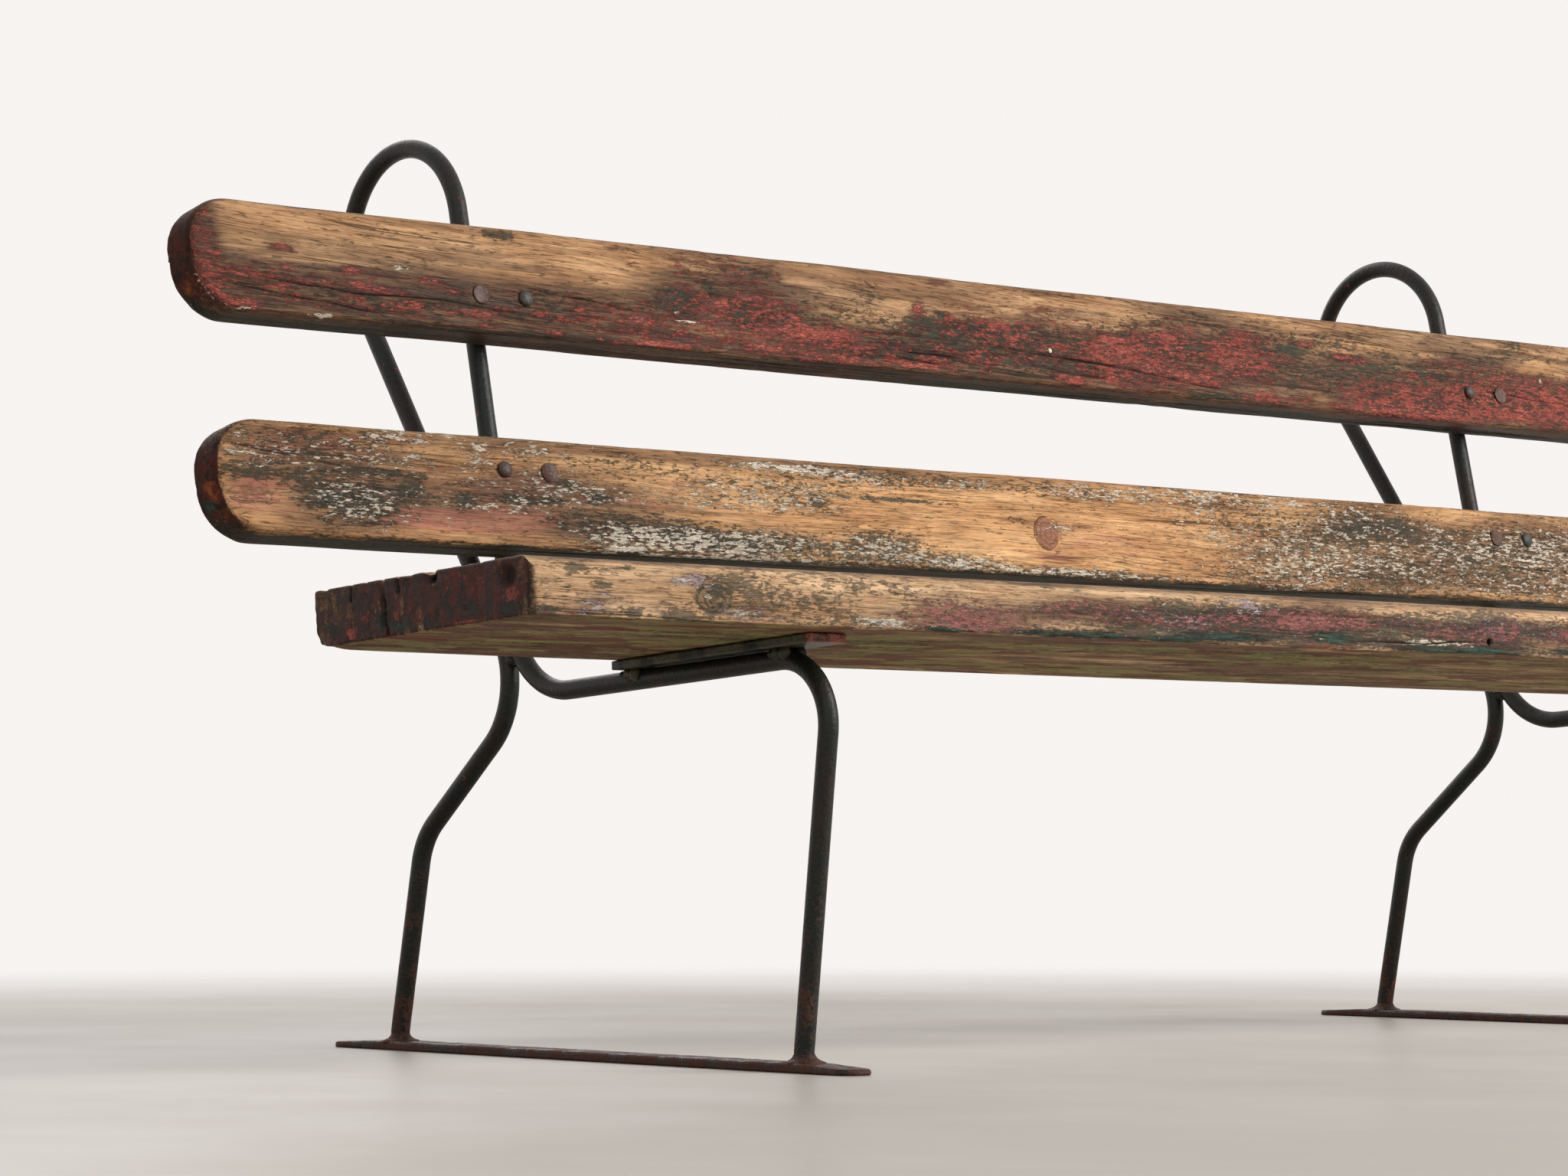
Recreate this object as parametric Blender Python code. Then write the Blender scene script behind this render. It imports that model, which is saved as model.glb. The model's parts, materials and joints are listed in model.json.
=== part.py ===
"""Iron and wood bench: a seat plank and two back slats on two supports of bent round bar.

Metres, +Z up. X runs along the bench, the seat faces -Y, and the floor is Z = 0.
"""

import math

import bmesh
import bpy
from mathutils import Euler, Matrix, Vector

# Round bar of the two supports
BAR_DIAMETER = 0.017
SUPPORT_SPACING = 1.336

# Corners of the bar's centre line, seen from the side, with their bend radii
FRONT_FOOT_Y = -0.291
REAR_FOOT_Y = 0.268
SEAT_CORNER_Y = -0.3275
SEAT_CORNER_Z = 0.3435
SEAT_BEND_RADIUS = 0.056
DIP_CORNER_Y = 0.0885
DIP_CORNER_Z = 0.3175
DIP_BEND_RADIUS = 0.0775
LOOP_CENTRE_Y = 0.2705
LOOP_CENTRE_Z = 0.741
LOOP_RADIUS = 0.0845
CROOK_CORNER_Z = 0.317
CROOK_BEND_RADIUS = 0.0715
KNEE_CORNER_Y = 0.234
KNEE_CORNER_Z = 0.1915
KNEE_BEND_RADIUS = 0.062

# Weld where the two uprights lie side by side
JUNCTION_WELD_LENGTH = 0.032
JUNCTION_WELD_WIDTH = 0.015
JUNCTION_WELD_DEPTH = 0.012

# Flat runner under the two feet, with a weld fillet round each foot
RUNNER_TOE = 0.0725
RUNNER_HEEL = 0.088
RUNNER_WIDTH = 0.036
RUNNER_THICKNESS = 0.008
RUNNER_CORNER_RADIUS = 0.016
FOOT_WELD_HEIGHT = 0.009
FOOT_WELD_SPREAD = 0.008
FOOT_WELD_LIP = 0.0015

# Flat strap that carries the seat plank
STRAP_LENGTH = 0.259
STRAP_WIDTH = 0.042
STRAP_THICKNESS = 0.008

# Seat plank
SEAT_LENGTH = 2.000
SEAT_DEPTH = 0.292
SEAT_THICKNESS = 0.048
SEAT_NOSE = 0.0265
SEAT_NOSE_RADIUS = 0.016

# Back slats, measured along the leaning uprights
SLAT_LENGTH = 2.000
SLAT_HEIGHT = 0.102
SLAT_THICKNESS = 0.040
SLAT_END_RADIUS = 0.044
SLAT_EDGE_RADIUS = 0.005
SLAT_GAP = 0.096
TOP_SLAT_DROP = 0.0305
TOP_BOLT_DROP = 0.015
LOWER_BOLT_RISE = 0.020

# Saddle clips behind the slats
CLIP_WIDTH = 0.024
CLIP_THICKNESS = 0.003
CLIP_TAB = 0.010

# Round-headed bolts and square nuts
BOLT_SPACING = 0.050
BOLT_DIAMETER = 0.006
BOLT_HEAD_DIAMETER = 0.014
BOLT_HEAD_HEIGHT = 0.004
BOLT_TAIL = 0.004
NUT_WIDTH = 0.011
NUT_THICKNESS = 0.005

# Countersunk screws through the strap into the plank
SCREW_LENGTH = 0.032
SCREW_DIAMETER = 0.0044
SCREW_HEAD_DIAMETER = 0.009
SCREW_HEAD_HEIGHT = 0.0025
SCREW_POINT = 0.006
SCREW_INSET = 0.030
SCREW_EDGE = 0.0065

# Clearance between pieces that touch
GAP = 0.0003

# Fineness of round shapes
ARC_STEP = math.radians(9)
ROUND_SIDES = 12
BAR_BEVEL_RESOLUTION = 4

BAR_RADIUS = BAR_DIAMETER / 2
SUPPORTS = (("left", -SUPPORT_SPACING / 2), ("right", SUPPORT_SPACING / 2))

# Colours and finishes: base colour, roughness, metallic
FINISHES = {
    "seat_wood": ((0.36, 0.22, 0.11), 0.72, 0.0),
    "top_slat_wood": ((0.38, 0.16, 0.08), 0.68, 0.0),
    "lower_slat_wood": ((0.34, 0.22, 0.11), 0.72, 0.0),
    "bar_iron": ((0.020, 0.024, 0.018), 0.42, 0.35),
    "runner_iron": ((0.075, 0.035, 0.022), 0.70, 0.40),
    "strap_iron": ((0.030, 0.026, 0.018), 0.55, 0.35),
    "clip_iron": ((0.028, 0.024, 0.018), 0.55, 0.35),
    "bolt_steel": ((0.070, 0.040, 0.028), 0.60, 0.60),
    "nut_steel": ((0.060, 0.036, 0.026), 0.60, 0.60),
    "screw_steel": ((0.055, 0.040, 0.030), 0.55, 0.60),
}


# Helpers for objects and meshes

def clear_scene():
    for item in list(bpy.data.objects):
        bpy.data.objects.remove(item, do_unlink=True)


def finish(name):
    material = bpy.data.materials.get(name)
    if material:
        return material
    colour, roughness, metallic = FINISHES[name]
    material = bpy.data.materials.new(name)
    material.use_nodes = True
    shader = material.node_tree.nodes["Principled BSDF"]
    shader.inputs["Base Color"].default_value = (*colour, 1.0)
    shader.inputs["Roughness"].default_value = roughness
    shader.inputs["Metallic"].default_value = metallic
    material.diffuse_color = (*colour, 1.0)
    return material


def place(name, mesh, finish_name, parent=None, location=(0, 0, 0)):
    piece = bpy.data.objects.new(name, mesh)
    bpy.context.scene.collection.objects.link(piece)
    if not mesh.materials:
        mesh.materials.append(finish(finish_name))
    piece.parent = parent
    piece.location = location
    return piece


def carrier(name, point, tilt):
    """An empty at a (y, z) point, turned about X, that carries pieces in its own frame."""
    empty = bpy.data.objects.new(name, None)
    bpy.context.scene.collection.objects.link(empty)
    empty.location = (0, point.x, point.y)
    empty.rotation_euler = Euler((tilt, 0, 0))
    return empty


def to_mesh(shape, name, smooth_angle=None):
    bmesh.ops.recalc_face_normals(shape, faces=shape.faces)
    mesh = bpy.data.meshes.new(name)
    shape.to_mesh(mesh)
    shape.free()
    if smooth_angle is not None:
        mesh.shade_smooth()
        mesh.set_sharp_from_angle(angle=smooth_angle)
    return mesh


def combine(base, tool, operation):
    """The base mesh joined with the tool mesh, or cut by it."""
    holder = bpy.data.objects.new("holder", base)
    cutter = bpy.data.objects.new("cutter", tool)
    for item in (holder, cutter):
        bpy.context.scene.collection.objects.link(item)
    step = holder.modifiers.new("combine", "BOOLEAN")
    step.operation = operation
    step.solver = "EXACT"
    step.object = cutter
    depsgraph = bpy.context.evaluated_depsgraph_get()
    result = bpy.data.meshes.new_from_object(holder.evaluated_get(depsgraph))
    result.name = base.name
    for item in (holder, cutter):
        bpy.data.objects.remove(item, do_unlink=True)
    return result


def extruded(outline, depth, name, edge_radius=0.0, edge_segments=2):
    """A flat (x, y) outline raised along +Z, with its rims rounded if an edge radius is given."""
    shape = bmesh.new()
    base = shape.faces.new([shape.verts.new((x, y, 0)) for x, y in outline])
    top = bmesh.ops.extrude_face_region(shape, geom=[base])["geom"]
    moved = [item for item in top if isinstance(item, bmesh.types.BMVert)]
    bmesh.ops.translate(shape, verts=moved, vec=(0, 0, depth))
    if edge_radius:
        rims = [edge for edge in shape.edges if edge.verts[0].co.z == edge.verts[1].co.z]
        bmesh.ops.bevel(shape, geom=rims, offset=edge_radius, segments=edge_segments, profile=0.5,
                        affect="EDGES", clamp_overlap=True)
    return to_mesh(shape, name)


def turned(profile, name, smooth_angle=math.radians(40)):
    """A solid turned about Z from (radius, height) points that start and end on the axis."""
    shape = bmesh.new()
    points = [shape.verts.new((radius, 0, height)) for radius, height in profile]
    edges = [shape.edges.new(pair) for pair in zip(points, points[1:])]
    bmesh.ops.spin(shape, geom=points + edges, cent=(0, 0, 0), axis=(0, 0, 1), angle=math.tau,
                   steps=ROUND_SIDES, use_merge=True)
    bmesh.ops.remove_doubles(shape, verts=shape.verts, dist=1e-6)
    return to_mesh(shape, name, smooth_angle)


def drills(centres, profile, turn, name):
    """Turned cutters at several points, in one mesh."""
    shape = bmesh.new()
    single = turned(profile, name, None)
    for centre in centres:
        single_copy = single.copy()
        single_copy.transform(Matrix.Translation(centre) @ turn)
        shape.from_mesh(single_copy)
    return to_mesh(shape, name)


def rounded_rectangle(width, height, radius, steps=6):
    """Outline of a rectangle about the origin whose corners are arcs."""
    radius = min(radius, width / 2, height / 2)
    outline = []
    for quarter, (side, level) in enumerate(((1, 1), (-1, 1), (-1, -1), (1, -1))):
        centre_x = side * (width / 2 - radius)
        centre_y = level * (height / 2 - radius)
        for step in range(steps + 1):
            angle = math.pi / 2 * (quarter + step / steps)
            outline.append((centre_x + radius * math.cos(angle), centre_y + radius * math.sin(angle)))
    return outline


# Centre line of the bent bar, as (y, z) points

def corner_arc(before, corner, after, radius):
    """Arc that rounds a corner: its centre and its points."""
    back = (before - corner).normalized()
    ahead = (after - corner).normalized()
    half = back.angle(ahead) / 2
    centre = corner + (back + ahead).normalized() * (radius / math.sin(half))
    start = corner + back * (radius / math.tan(half)) - centre
    sweep = start.angle_signed(corner + ahead * (radius / math.tan(half)) - centre)
    return centre, arc_points(centre, start, sweep)


def arc_points(centre, start, sweep):
    """Points on an arc from centre + start, turning clockwise by sweep."""
    count = max(2, math.ceil(abs(sweep) / ARC_STEP))
    turns = (Matrix.Rotation(-sweep * step / count, 2) for step in range(count + 1))
    return [centre + turn @ start for turn in turns]


def tangent_point(point, centre, radius, side):
    """Where a line from the point touches a circle, on the chosen side."""
    reach = centre - point
    swing = math.asin(radius / reach.length) * side
    length = math.sqrt(reach.length ** 2 - radius ** 2)
    return point + Matrix.Rotation(swing, 2) @ reach.normalized() * length


FOOT_Z = RUNNER_THICKNESS + GAP
SEAT_CORNER = Vector((SEAT_CORNER_Y, SEAT_CORNER_Z))
DIP_CORNER = Vector((DIP_CORNER_Y, DIP_CORNER_Z))
LOOP_CENTRE = Vector((LOOP_CENTRE_Y, LOOP_CENTRE_Z))
KNEE_CORNER = Vector((KNEE_CORNER_Y, KNEE_CORNER_Z))
UPRIGHT_END = tangent_point(DIP_CORNER, LOOP_CENTRE, LOOP_RADIUS, 1)
UPRIGHT_LENGTH = (UPRIGHT_END - DIP_CORNER).length
UPRIGHT_LEAN = math.atan2(UPRIGHT_END.x - DIP_CORNER.x, UPRIGHT_END.y - DIP_CORNER.y)
SEAT_RAKE = math.atan2(SEAT_CORNER.y - DIP_CORNER.y, DIP_CORNER.x - SEAT_CORNER.x)


def crook(corner_y):
    """The rear upright's tangent point on the loop, and the crook's arc, for a crook corner."""
    corner = Vector((corner_y, CROOK_CORNER_Z))
    loop_end = tangent_point(corner, LOOP_CENTRE, LOOP_RADIUS, -1)
    centre, points = corner_arc(loop_end, corner, KNEE_CORNER, CROOK_BEND_RADIUS)
    return loop_end, centre, points


DIP_CENTRE, DIP_POINTS = corner_arc(SEAT_CORNER, DIP_CORNER, UPRIGHT_END, DIP_BEND_RADIUS)


def touching_crook():
    """Crook corner at which the rear upright lies against the front one, found by halving."""
    wanted = DIP_BEND_RADIUS + CROOK_BEND_RADIUS + BAR_DIAMETER + GAP
    near = DIP_CORNER_Y - BAR_DIAMETER * 4
    far = DIP_CORNER_Y + BAR_DIAMETER * 4
    for _ in range(40):
        middle = (near + far) / 2
        if (crook(middle)[1] - DIP_CENTRE).length < wanted:
            near = middle
        else:
            far = middle
    return middle


CROOK_CORNER_Y = touching_crook()
LOOP_END, CROOK_CENTRE, CROOK_POINTS = crook(CROOK_CORNER_Y)


def bar_route():
    """Centre line of one support from the front foot, over the loop, to the rear foot."""
    front_foot = Vector((FRONT_FOOT_Y, FOOT_Z))
    rear_foot = Vector((REAR_FOOT_Y, FOOT_Z))
    ankle = Vector((0, FOOT_WELD_HEIGHT))
    crook_corner = Vector((CROOK_CORNER_Y, CROOK_CORNER_Z))
    seat_points = corner_arc(front_foot + ankle, SEAT_CORNER, DIP_CORNER, SEAT_BEND_RADIUS)[1]
    start = UPRIGHT_END - LOOP_CENTRE
    sweep = start.angle_signed(LOOP_END - LOOP_CENTRE) % math.tau
    loop_points = arc_points(LOOP_CENTRE, start, sweep)
    knee_points = corner_arc(crook_corner, KNEE_CORNER, rear_foot + ankle, KNEE_BEND_RADIUS)[1]
    route = [front_foot, front_foot + ankle] + seat_points + DIP_POINTS + loop_points
    return route + CROOK_POINTS + knee_points + [rear_foot + ankle, rear_foot]


# Pieces of one support

def bar_mesh():
    """Round bar swept along its route, with the weld that joins the uprights."""
    curve = bpy.data.curves.new("bar_route", "CURVE")
    curve.dimensions = "3D"
    curve.bevel_depth = BAR_RADIUS
    curve.bevel_resolution = BAR_BEVEL_RESOLUTION
    curve.use_fill_caps = True
    route = bar_route()
    spline = curve.splines.new("POLY")
    spline.points.add(len(route) - 1)
    for point, (y, z) in zip(spline.points, route):
        point.co = (0, y, z, 1)
    swept = bpy.data.objects.new("bar_route", curve)
    bpy.context.scene.collection.objects.link(swept)
    depsgraph = bpy.context.evaluated_depsgraph_get()
    tube = bpy.data.meshes.new_from_object(swept.evaluated_get(depsgraph))
    bpy.data.objects.remove(swept, do_unlink=True)
    shape = bmesh.new()
    shape.from_mesh(tube)
    bmesh.ops.remove_doubles(shape, verts=shape.verts, dist=1e-6)
    mesh = combine(to_mesh(shape, "bent_bar"), junction_weld(), "UNION")
    mesh.shade_smooth()
    mesh.set_sharp_from_angle(angle=math.radians(50))
    return mesh


def junction_weld():
    """Bead of weld between the two uprights, where they lie side by side."""
    across = (CROOK_CENTRE - DIP_CENTRE).normalized()
    middle = DIP_CENTRE + across * (DIP_BEND_RADIUS + (BAR_DIAMETER + GAP) / 2)
    turn = Matrix.Rotation(math.atan2(across.y, across.x), 4, "X")
    size = Matrix.Diagonal((JUNCTION_WELD_WIDTH / 2, JUNCTION_WELD_DEPTH / 2, JUNCTION_WELD_LENGTH / 2, 1))
    shape = bmesh.new()
    bmesh.ops.create_uvsphere(shape, u_segments=ROUND_SIDES, v_segments=ROUND_SIDES // 2, radius=1,
                              matrix=Matrix.Translation((0, middle.x, middle.y)) @ turn @ size)
    return to_mesh(shape, "junction_weld")


def runner_mesh():
    """Flat bar on the floor, with a weld fillet that rings each foot."""
    front_end = FRONT_FOOT_Y - RUNNER_TOE
    rear_end = REAR_FOOT_Y + RUNNER_HEEL
    middle = (front_end + rear_end) / 2
    outline = rounded_rectangle(RUNNER_WIDTH, rear_end - front_end, RUNNER_CORNER_RADIUS)
    mesh = extruded([(x, y + middle) for x, y in outline], RUNNER_THICKNESS, "runner")
    hole = BAR_RADIUS + GAP
    fillet = [(0, -RUNNER_THICKNESS / 2), (hole + FOOT_WELD_SPREAD, -RUNNER_THICKNESS / 2),
              (hole + FOOT_WELD_SPREAD, 0), (hole + FOOT_WELD_SPREAD / 3, FOOT_WELD_HEIGHT / 2),
              (hole + FOOT_WELD_LIP, FOOT_WELD_HEIGHT), (0, FOOT_WELD_HEIGHT)]
    socket = [(0, 0), (hole, 0), (hole, FOOT_WELD_HEIGHT * 2), (0, FOOT_WELD_HEIGHT * 2)]
    feet = [Vector((0, y, RUNNER_THICKNESS)) for y in (FRONT_FOOT_Y, REAR_FOOT_Y)]
    mesh = combine(mesh, drills(feet, fillet, Matrix.Identity(4), "foot_welds"), "UNION")
    return combine(mesh, drills(feet, socket, Matrix.Identity(4), "foot_sockets"), "DIFFERENCE")


# Seat, in a frame on the seat bar's centre line with Z square to the plank

SEAT_REAR = SEAT_DEPTH - SEAT_NOSE
STRAP_FRONT = SEAT_REAR - STRAP_LENGTH
STRAP_BOTTOM = BAR_RADIUS + GAP
PLANK_BOTTOM = STRAP_BOTTOM + STRAP_THICKNESS + GAP
SCREW_SIDE = STRAP_WIDTH / 2 - SCREW_EDGE
SCREW_PLACES = [(side * SCREW_SIDE, y) for y in (STRAP_FRONT + SCREW_INSET, SEAT_REAR - SCREW_INSET)
                for side in (-1, 1)]


def screw_mesh():
    """Wood screw with a flat countersunk head and a point, standing on its head."""
    head = SCREW_HEAD_DIAMETER / 2
    shank = SCREW_DIAMETER / 2
    shoulder = SCREW_LENGTH - SCREW_POINT
    profile = [(0, 0), (head, 0), (shank, SCREW_HEAD_HEIGHT), (shank, shoulder), (0, SCREW_LENGTH)]
    return turned(profile, "seat_screw")


def screw_hole():
    """Cutter for one screw, countersink and shank, open below."""
    head = SCREW_HEAD_DIAMETER / 2 + GAP
    shank = SCREW_DIAMETER / 2 + GAP
    end = SCREW_LENGTH + GAP * 2
    return [(0, -GAP), (head, -GAP), (head, 0), (shank, SCREW_HEAD_HEIGHT), (shank, end), (0, end)]


def strap_mesh():
    outline = rounded_rectangle(STRAP_WIDTH, STRAP_LENGTH, STRAP_THICKNESS / 4, 2)
    middle = (STRAP_FRONT + SEAT_REAR) / 2
    mesh = extruded([(x, y + middle) for x, y in outline], STRAP_THICKNESS, "seat_strap")
    places = [Vector((x, y, 0)) for x, y in SCREW_PLACES]
    return combine(mesh, drills(places, screw_hole(), Matrix.Identity(4), "strap_holes"), "DIFFERENCE")


def seat_mesh():
    """Plank with a rounded front top edge and blind holes for the screws."""
    radius = min(SEAT_NOSE_RADIUS, SEAT_THICKNESS / 2)
    outline = [(SEAT_REAR, 0), (SEAT_REAR, SEAT_THICKNESS)]
    for step in range(7):
        angle = math.pi / 2 * (1 + step / 6)
        outline.append((radius - SEAT_NOSE + radius * math.cos(angle),
                        SEAT_THICKNESS - radius + radius * math.sin(angle)))
    outline.append((-SEAT_NOSE, 0))
    mesh = extruded(outline, SEAT_LENGTH, "seat_plank")
    stand_up = Matrix(((0, 0, 1, -SEAT_LENGTH / 2), (1, 0, 0, 0), (0, 1, 0, 0), (0, 0, 0, 1)))
    mesh.transform(stand_up)
    places = [Vector((x + middle, y, STRAP_BOTTOM - PLANK_BOTTOM))
              for _, middle in SUPPORTS for x, y in SCREW_PLACES]
    return combine(mesh, drills(places, screw_hole(), Matrix.Identity(4), "plank_holes"), "DIFFERENCE")


# Backrest, in a frame on the front upright's centre line: Z along it, -Y towards the sitter

SLAT_BACK = -(BAR_RADIUS + GAP)
SLAT_FRONT = SLAT_BACK - SLAT_THICKNESS
CLIP_FRONT = SLAT_BACK + GAP
CLIP_BACK = CLIP_FRONT + CLIP_THICKNESS
NUT_FRONT = CLIP_BACK + GAP
TOP_SLAT_Z = UPRIGHT_LENGTH - TOP_SLAT_DROP - SLAT_HEIGHT / 2
LOWER_SLAT_Z = TOP_SLAT_Z - SLAT_HEIGHT - SLAT_GAP
SLATS = (("top", TOP_SLAT_Z, -TOP_BOLT_DROP), ("lower", LOWER_SLAT_Z, LOWER_BOLT_RISE))
BOLT_SIDES = (("outer", 1), ("inner", -1))
FACE_BACK = Matrix.Rotation(-math.pi / 2, 4, "X")


def slat_mesh(name, bolt_z):
    """Board with rounded ends and bolt holes, standing on edge."""
    mesh = extruded(rounded_rectangle(SLAT_LENGTH, SLAT_HEIGHT, SLAT_END_RADIUS), SLAT_THICKNESS, name,
                    SLAT_EDGE_RADIUS)
    mesh.transform(Matrix.Translation((0, SLAT_BACK, 0)) @ Matrix.Rotation(math.pi / 2, 4, "X"))
    hole = BOLT_DIAMETER / 2 + GAP
    length = SLAT_THICKNESS + GAP * 4
    bore = [(0, 0), (hole, 0), (hole, length), (0, length)]
    places = [Vector((middle + side * BOLT_SPACING / 2, SLAT_FRONT - GAP * 2, bolt_z))
              for _, middle in SUPPORTS for _, side in BOLT_SIDES]
    return combine(mesh, drills(places, bore, FACE_BACK, "slat_holes"), "DIFFERENCE")


def clip_mesh():
    """Hat-shaped strip bent over the bar, with a bolt hole in each tab."""
    inside = BAR_RADIUS + GAP
    outside = inside + CLIP_THICKNESS
    reach = BOLT_SPACING / 2 + CLIP_TAB
    bends = [math.pi * step / ROUND_SIDES for step in range(ROUND_SIDES + 1)]
    outline = [(reach, CLIP_FRONT), (reach, CLIP_BACK), (outside, CLIP_BACK)]
    outline += [(outside * math.cos(angle), outside * math.sin(angle)) for angle in bends]
    outline += [(-outside, CLIP_BACK), (-reach, CLIP_BACK), (-reach, CLIP_FRONT), (-inside, CLIP_FRONT)]
    outline += [(inside * math.cos(angle), inside * math.sin(angle)) for angle in reversed(bends)]
    outline.append((inside, CLIP_FRONT))
    mesh = extruded(outline, CLIP_WIDTH, "saddle_clip")
    mesh.transform(Matrix.Translation((0, 0, -CLIP_WIDTH / 2)))
    hole = BOLT_DIAMETER / 2 + GAP
    bore = [(0, 0), (hole, 0), (hole, CLIP_THICKNESS * 2), (0, CLIP_THICKNESS * 2)]
    places = [Vector((side * BOLT_SPACING / 2, CLIP_FRONT - CLIP_THICKNESS / 2, 0)) for _, side in BOLT_SIDES]
    return combine(mesh, drills(places, bore, FACE_BACK, "clip_holes"), "DIFFERENCE")


def bolt_mesh():
    """Domed head on the slat's face, and a shank that ends past the nut."""
    head = BOLT_HEAD_DIAMETER / 2
    shank = BOLT_DIAMETER / 2
    seat = SLAT_FRONT - GAP
    tail = NUT_FRONT + NUT_THICKNESS + BOLT_TAIL
    dome = [(head * math.sin(angle), seat - BOLT_HEAD_HEIGHT * math.cos(angle))
            for angle in (math.pi / 2 * step / 4 for step in range(5))]
    profile = [(0, dome[0][1])] + dome[1:] + [(shank, seat), (shank, tail), (0, tail)]
    mesh = turned(profile, "slat_bolt")
    mesh.transform(FACE_BACK)
    return mesh


def nut_mesh():
    half = NUT_WIDTH / 2
    mesh = extruded([(half, half), (-half, half), (-half, -half), (half, -half)], NUT_THICKNESS, "square_nut")
    hole = BOLT_DIAMETER / 2 + GAP
    bore = [(0, -NUT_THICKNESS), (hole, -NUT_THICKNESS), (hole, NUT_THICKNESS * 2), (0, NUT_THICKNESS * 2)]
    mesh = combine(mesh, drills([Vector()], bore, Matrix.Identity(4), "nut_bore"), "DIFFERENCE")
    mesh.transform(Matrix.Translation((0, NUT_FRONT, 0)) @ FACE_BACK)
    return mesh


# Assembly

def build_supports():
    bar = bar_mesh()
    runner = runner_mesh()
    for side, x in SUPPORTS:
        place(side + "_bar_frame", bar, "bar_iron", location=(x, 0, 0))
        place(side + "_runner", runner, "runner_iron", location=(x, 0, 0))


def build_seat():
    rest = carrier("seat_rest", SEAT_CORNER, -SEAT_RAKE)
    strap = strap_mesh()
    screw = screw_mesh()
    place("seat_plank", seat_mesh(), "seat_wood", rest, (0, 0, PLANK_BOTTOM))
    for side, middle in SUPPORTS:
        place(side + "_seat_strap", strap, "strap_iron", rest, (middle, 0, STRAP_BOTTOM))
        for number, (x, y) in enumerate(SCREW_PLACES, 1):
            place(f"{side}_seat_screw_{number}", screw, "screw_steel", rest, (middle + x, y, STRAP_BOTTOM))


def build_back():
    rest = carrier("back_rest", DIP_CORNER, -UPRIGHT_LEAN)
    clip = clip_mesh()
    bolt = bolt_mesh()
    nut = nut_mesh()
    for level, slat_z, bolt_z in SLATS:
        slat = slat_mesh(level + "_back_slat", bolt_z)
        place(level + "_back_slat", slat, level + "_slat_wood", rest, (0, 0, slat_z))
        for side, middle in SUPPORTS:
            row_z = slat_z + bolt_z
            outwards = math.copysign(BOLT_SPACING / 2, middle)
            place(f"{side}_{level}_clip", clip, "clip_iron", rest, (middle, 0, row_z))
            for edge, direction in BOLT_SIDES:
                spot = (middle + direction * outwards, 0, row_z)
                place(f"{side}_{level}_{edge}_bolt", bolt, "bolt_steel", rest, spot)
                place(f"{side}_{level}_{edge}_nut", nut, "nut_steel", rest, spot)


clear_scene()
build_supports()
build_seat()
build_back()
bpy.context.view_layer.update()
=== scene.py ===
"""Weathered iron and wood bench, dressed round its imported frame.

Metres, +Z up. X runs along the bench, the seat faces -Y, and the floor is Z = 0.
"""

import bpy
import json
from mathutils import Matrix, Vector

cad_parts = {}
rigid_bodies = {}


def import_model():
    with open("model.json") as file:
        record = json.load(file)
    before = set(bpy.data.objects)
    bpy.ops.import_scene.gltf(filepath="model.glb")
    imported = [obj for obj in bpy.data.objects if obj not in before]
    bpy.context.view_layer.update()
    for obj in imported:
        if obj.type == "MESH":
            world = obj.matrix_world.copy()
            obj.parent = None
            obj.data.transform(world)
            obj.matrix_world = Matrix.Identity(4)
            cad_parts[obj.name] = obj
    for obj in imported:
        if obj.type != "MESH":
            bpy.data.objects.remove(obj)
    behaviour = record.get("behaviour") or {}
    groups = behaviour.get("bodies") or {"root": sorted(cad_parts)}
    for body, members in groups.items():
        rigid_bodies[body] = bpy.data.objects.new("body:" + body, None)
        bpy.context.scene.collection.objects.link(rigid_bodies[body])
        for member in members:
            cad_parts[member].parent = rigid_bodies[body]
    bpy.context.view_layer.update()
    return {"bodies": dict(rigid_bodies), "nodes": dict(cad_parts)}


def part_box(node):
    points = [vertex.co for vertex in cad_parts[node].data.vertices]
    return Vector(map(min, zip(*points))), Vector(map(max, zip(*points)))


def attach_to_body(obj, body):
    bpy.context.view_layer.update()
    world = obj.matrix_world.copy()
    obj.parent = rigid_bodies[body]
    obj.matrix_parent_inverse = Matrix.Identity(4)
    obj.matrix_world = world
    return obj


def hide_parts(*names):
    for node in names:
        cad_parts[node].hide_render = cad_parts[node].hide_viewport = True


bl_info = {
    "name": "Iron and wood bench",
    "version": (1, 0, 0),
    "blender": (4, 5, 0),
    "location": "View3D > Sidebar > Bench",
    "description": "Weathered boards, bent iron supports and old fixings of a rustic bench",
    "category": "Object",
}

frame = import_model()

import json
import math

import bmesh
import bpy
import numpy as np
from bpy.props import FloatProperty, FloatVectorProperty, IntProperty, PointerProperty
from mathutils import Euler, Matrix, Vector

# Bent bar of one support: its corners seen from the side as (y, z), and its bend radii
SUPPORT_X = 0.668
FRONT_FOOT = Vector((-0.291, 0.0083))
REAR_FOOT = Vector((0.268, 0.0083))
ANKLE = Vector((0, 0.009))
SEAT_CORNER = Vector((-0.3275, 0.3435))
DIP_CORNER = Vector((0.0885, 0.3175))
LOOP_CENTRE = Vector((0.2705, 0.741))
KNEE_CORNER = Vector((0.234, 0.1915))
CROOK_CORNER_Z = 0.317
SEAT_BEND = 0.056
DIP_BEND = 0.0775
LOOP_RADIUS = 0.0845
CROOK_BEND = 0.0715
KNEE_BEND = 0.062
BAR_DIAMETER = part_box("left_bar_frame")[1].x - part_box("left_bar_frame")[0].x
BAR_RADIUS = BAR_DIAMETER / 2
HAIRLINE = 0.0003
ARC_STEP = math.radians(3)

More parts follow.
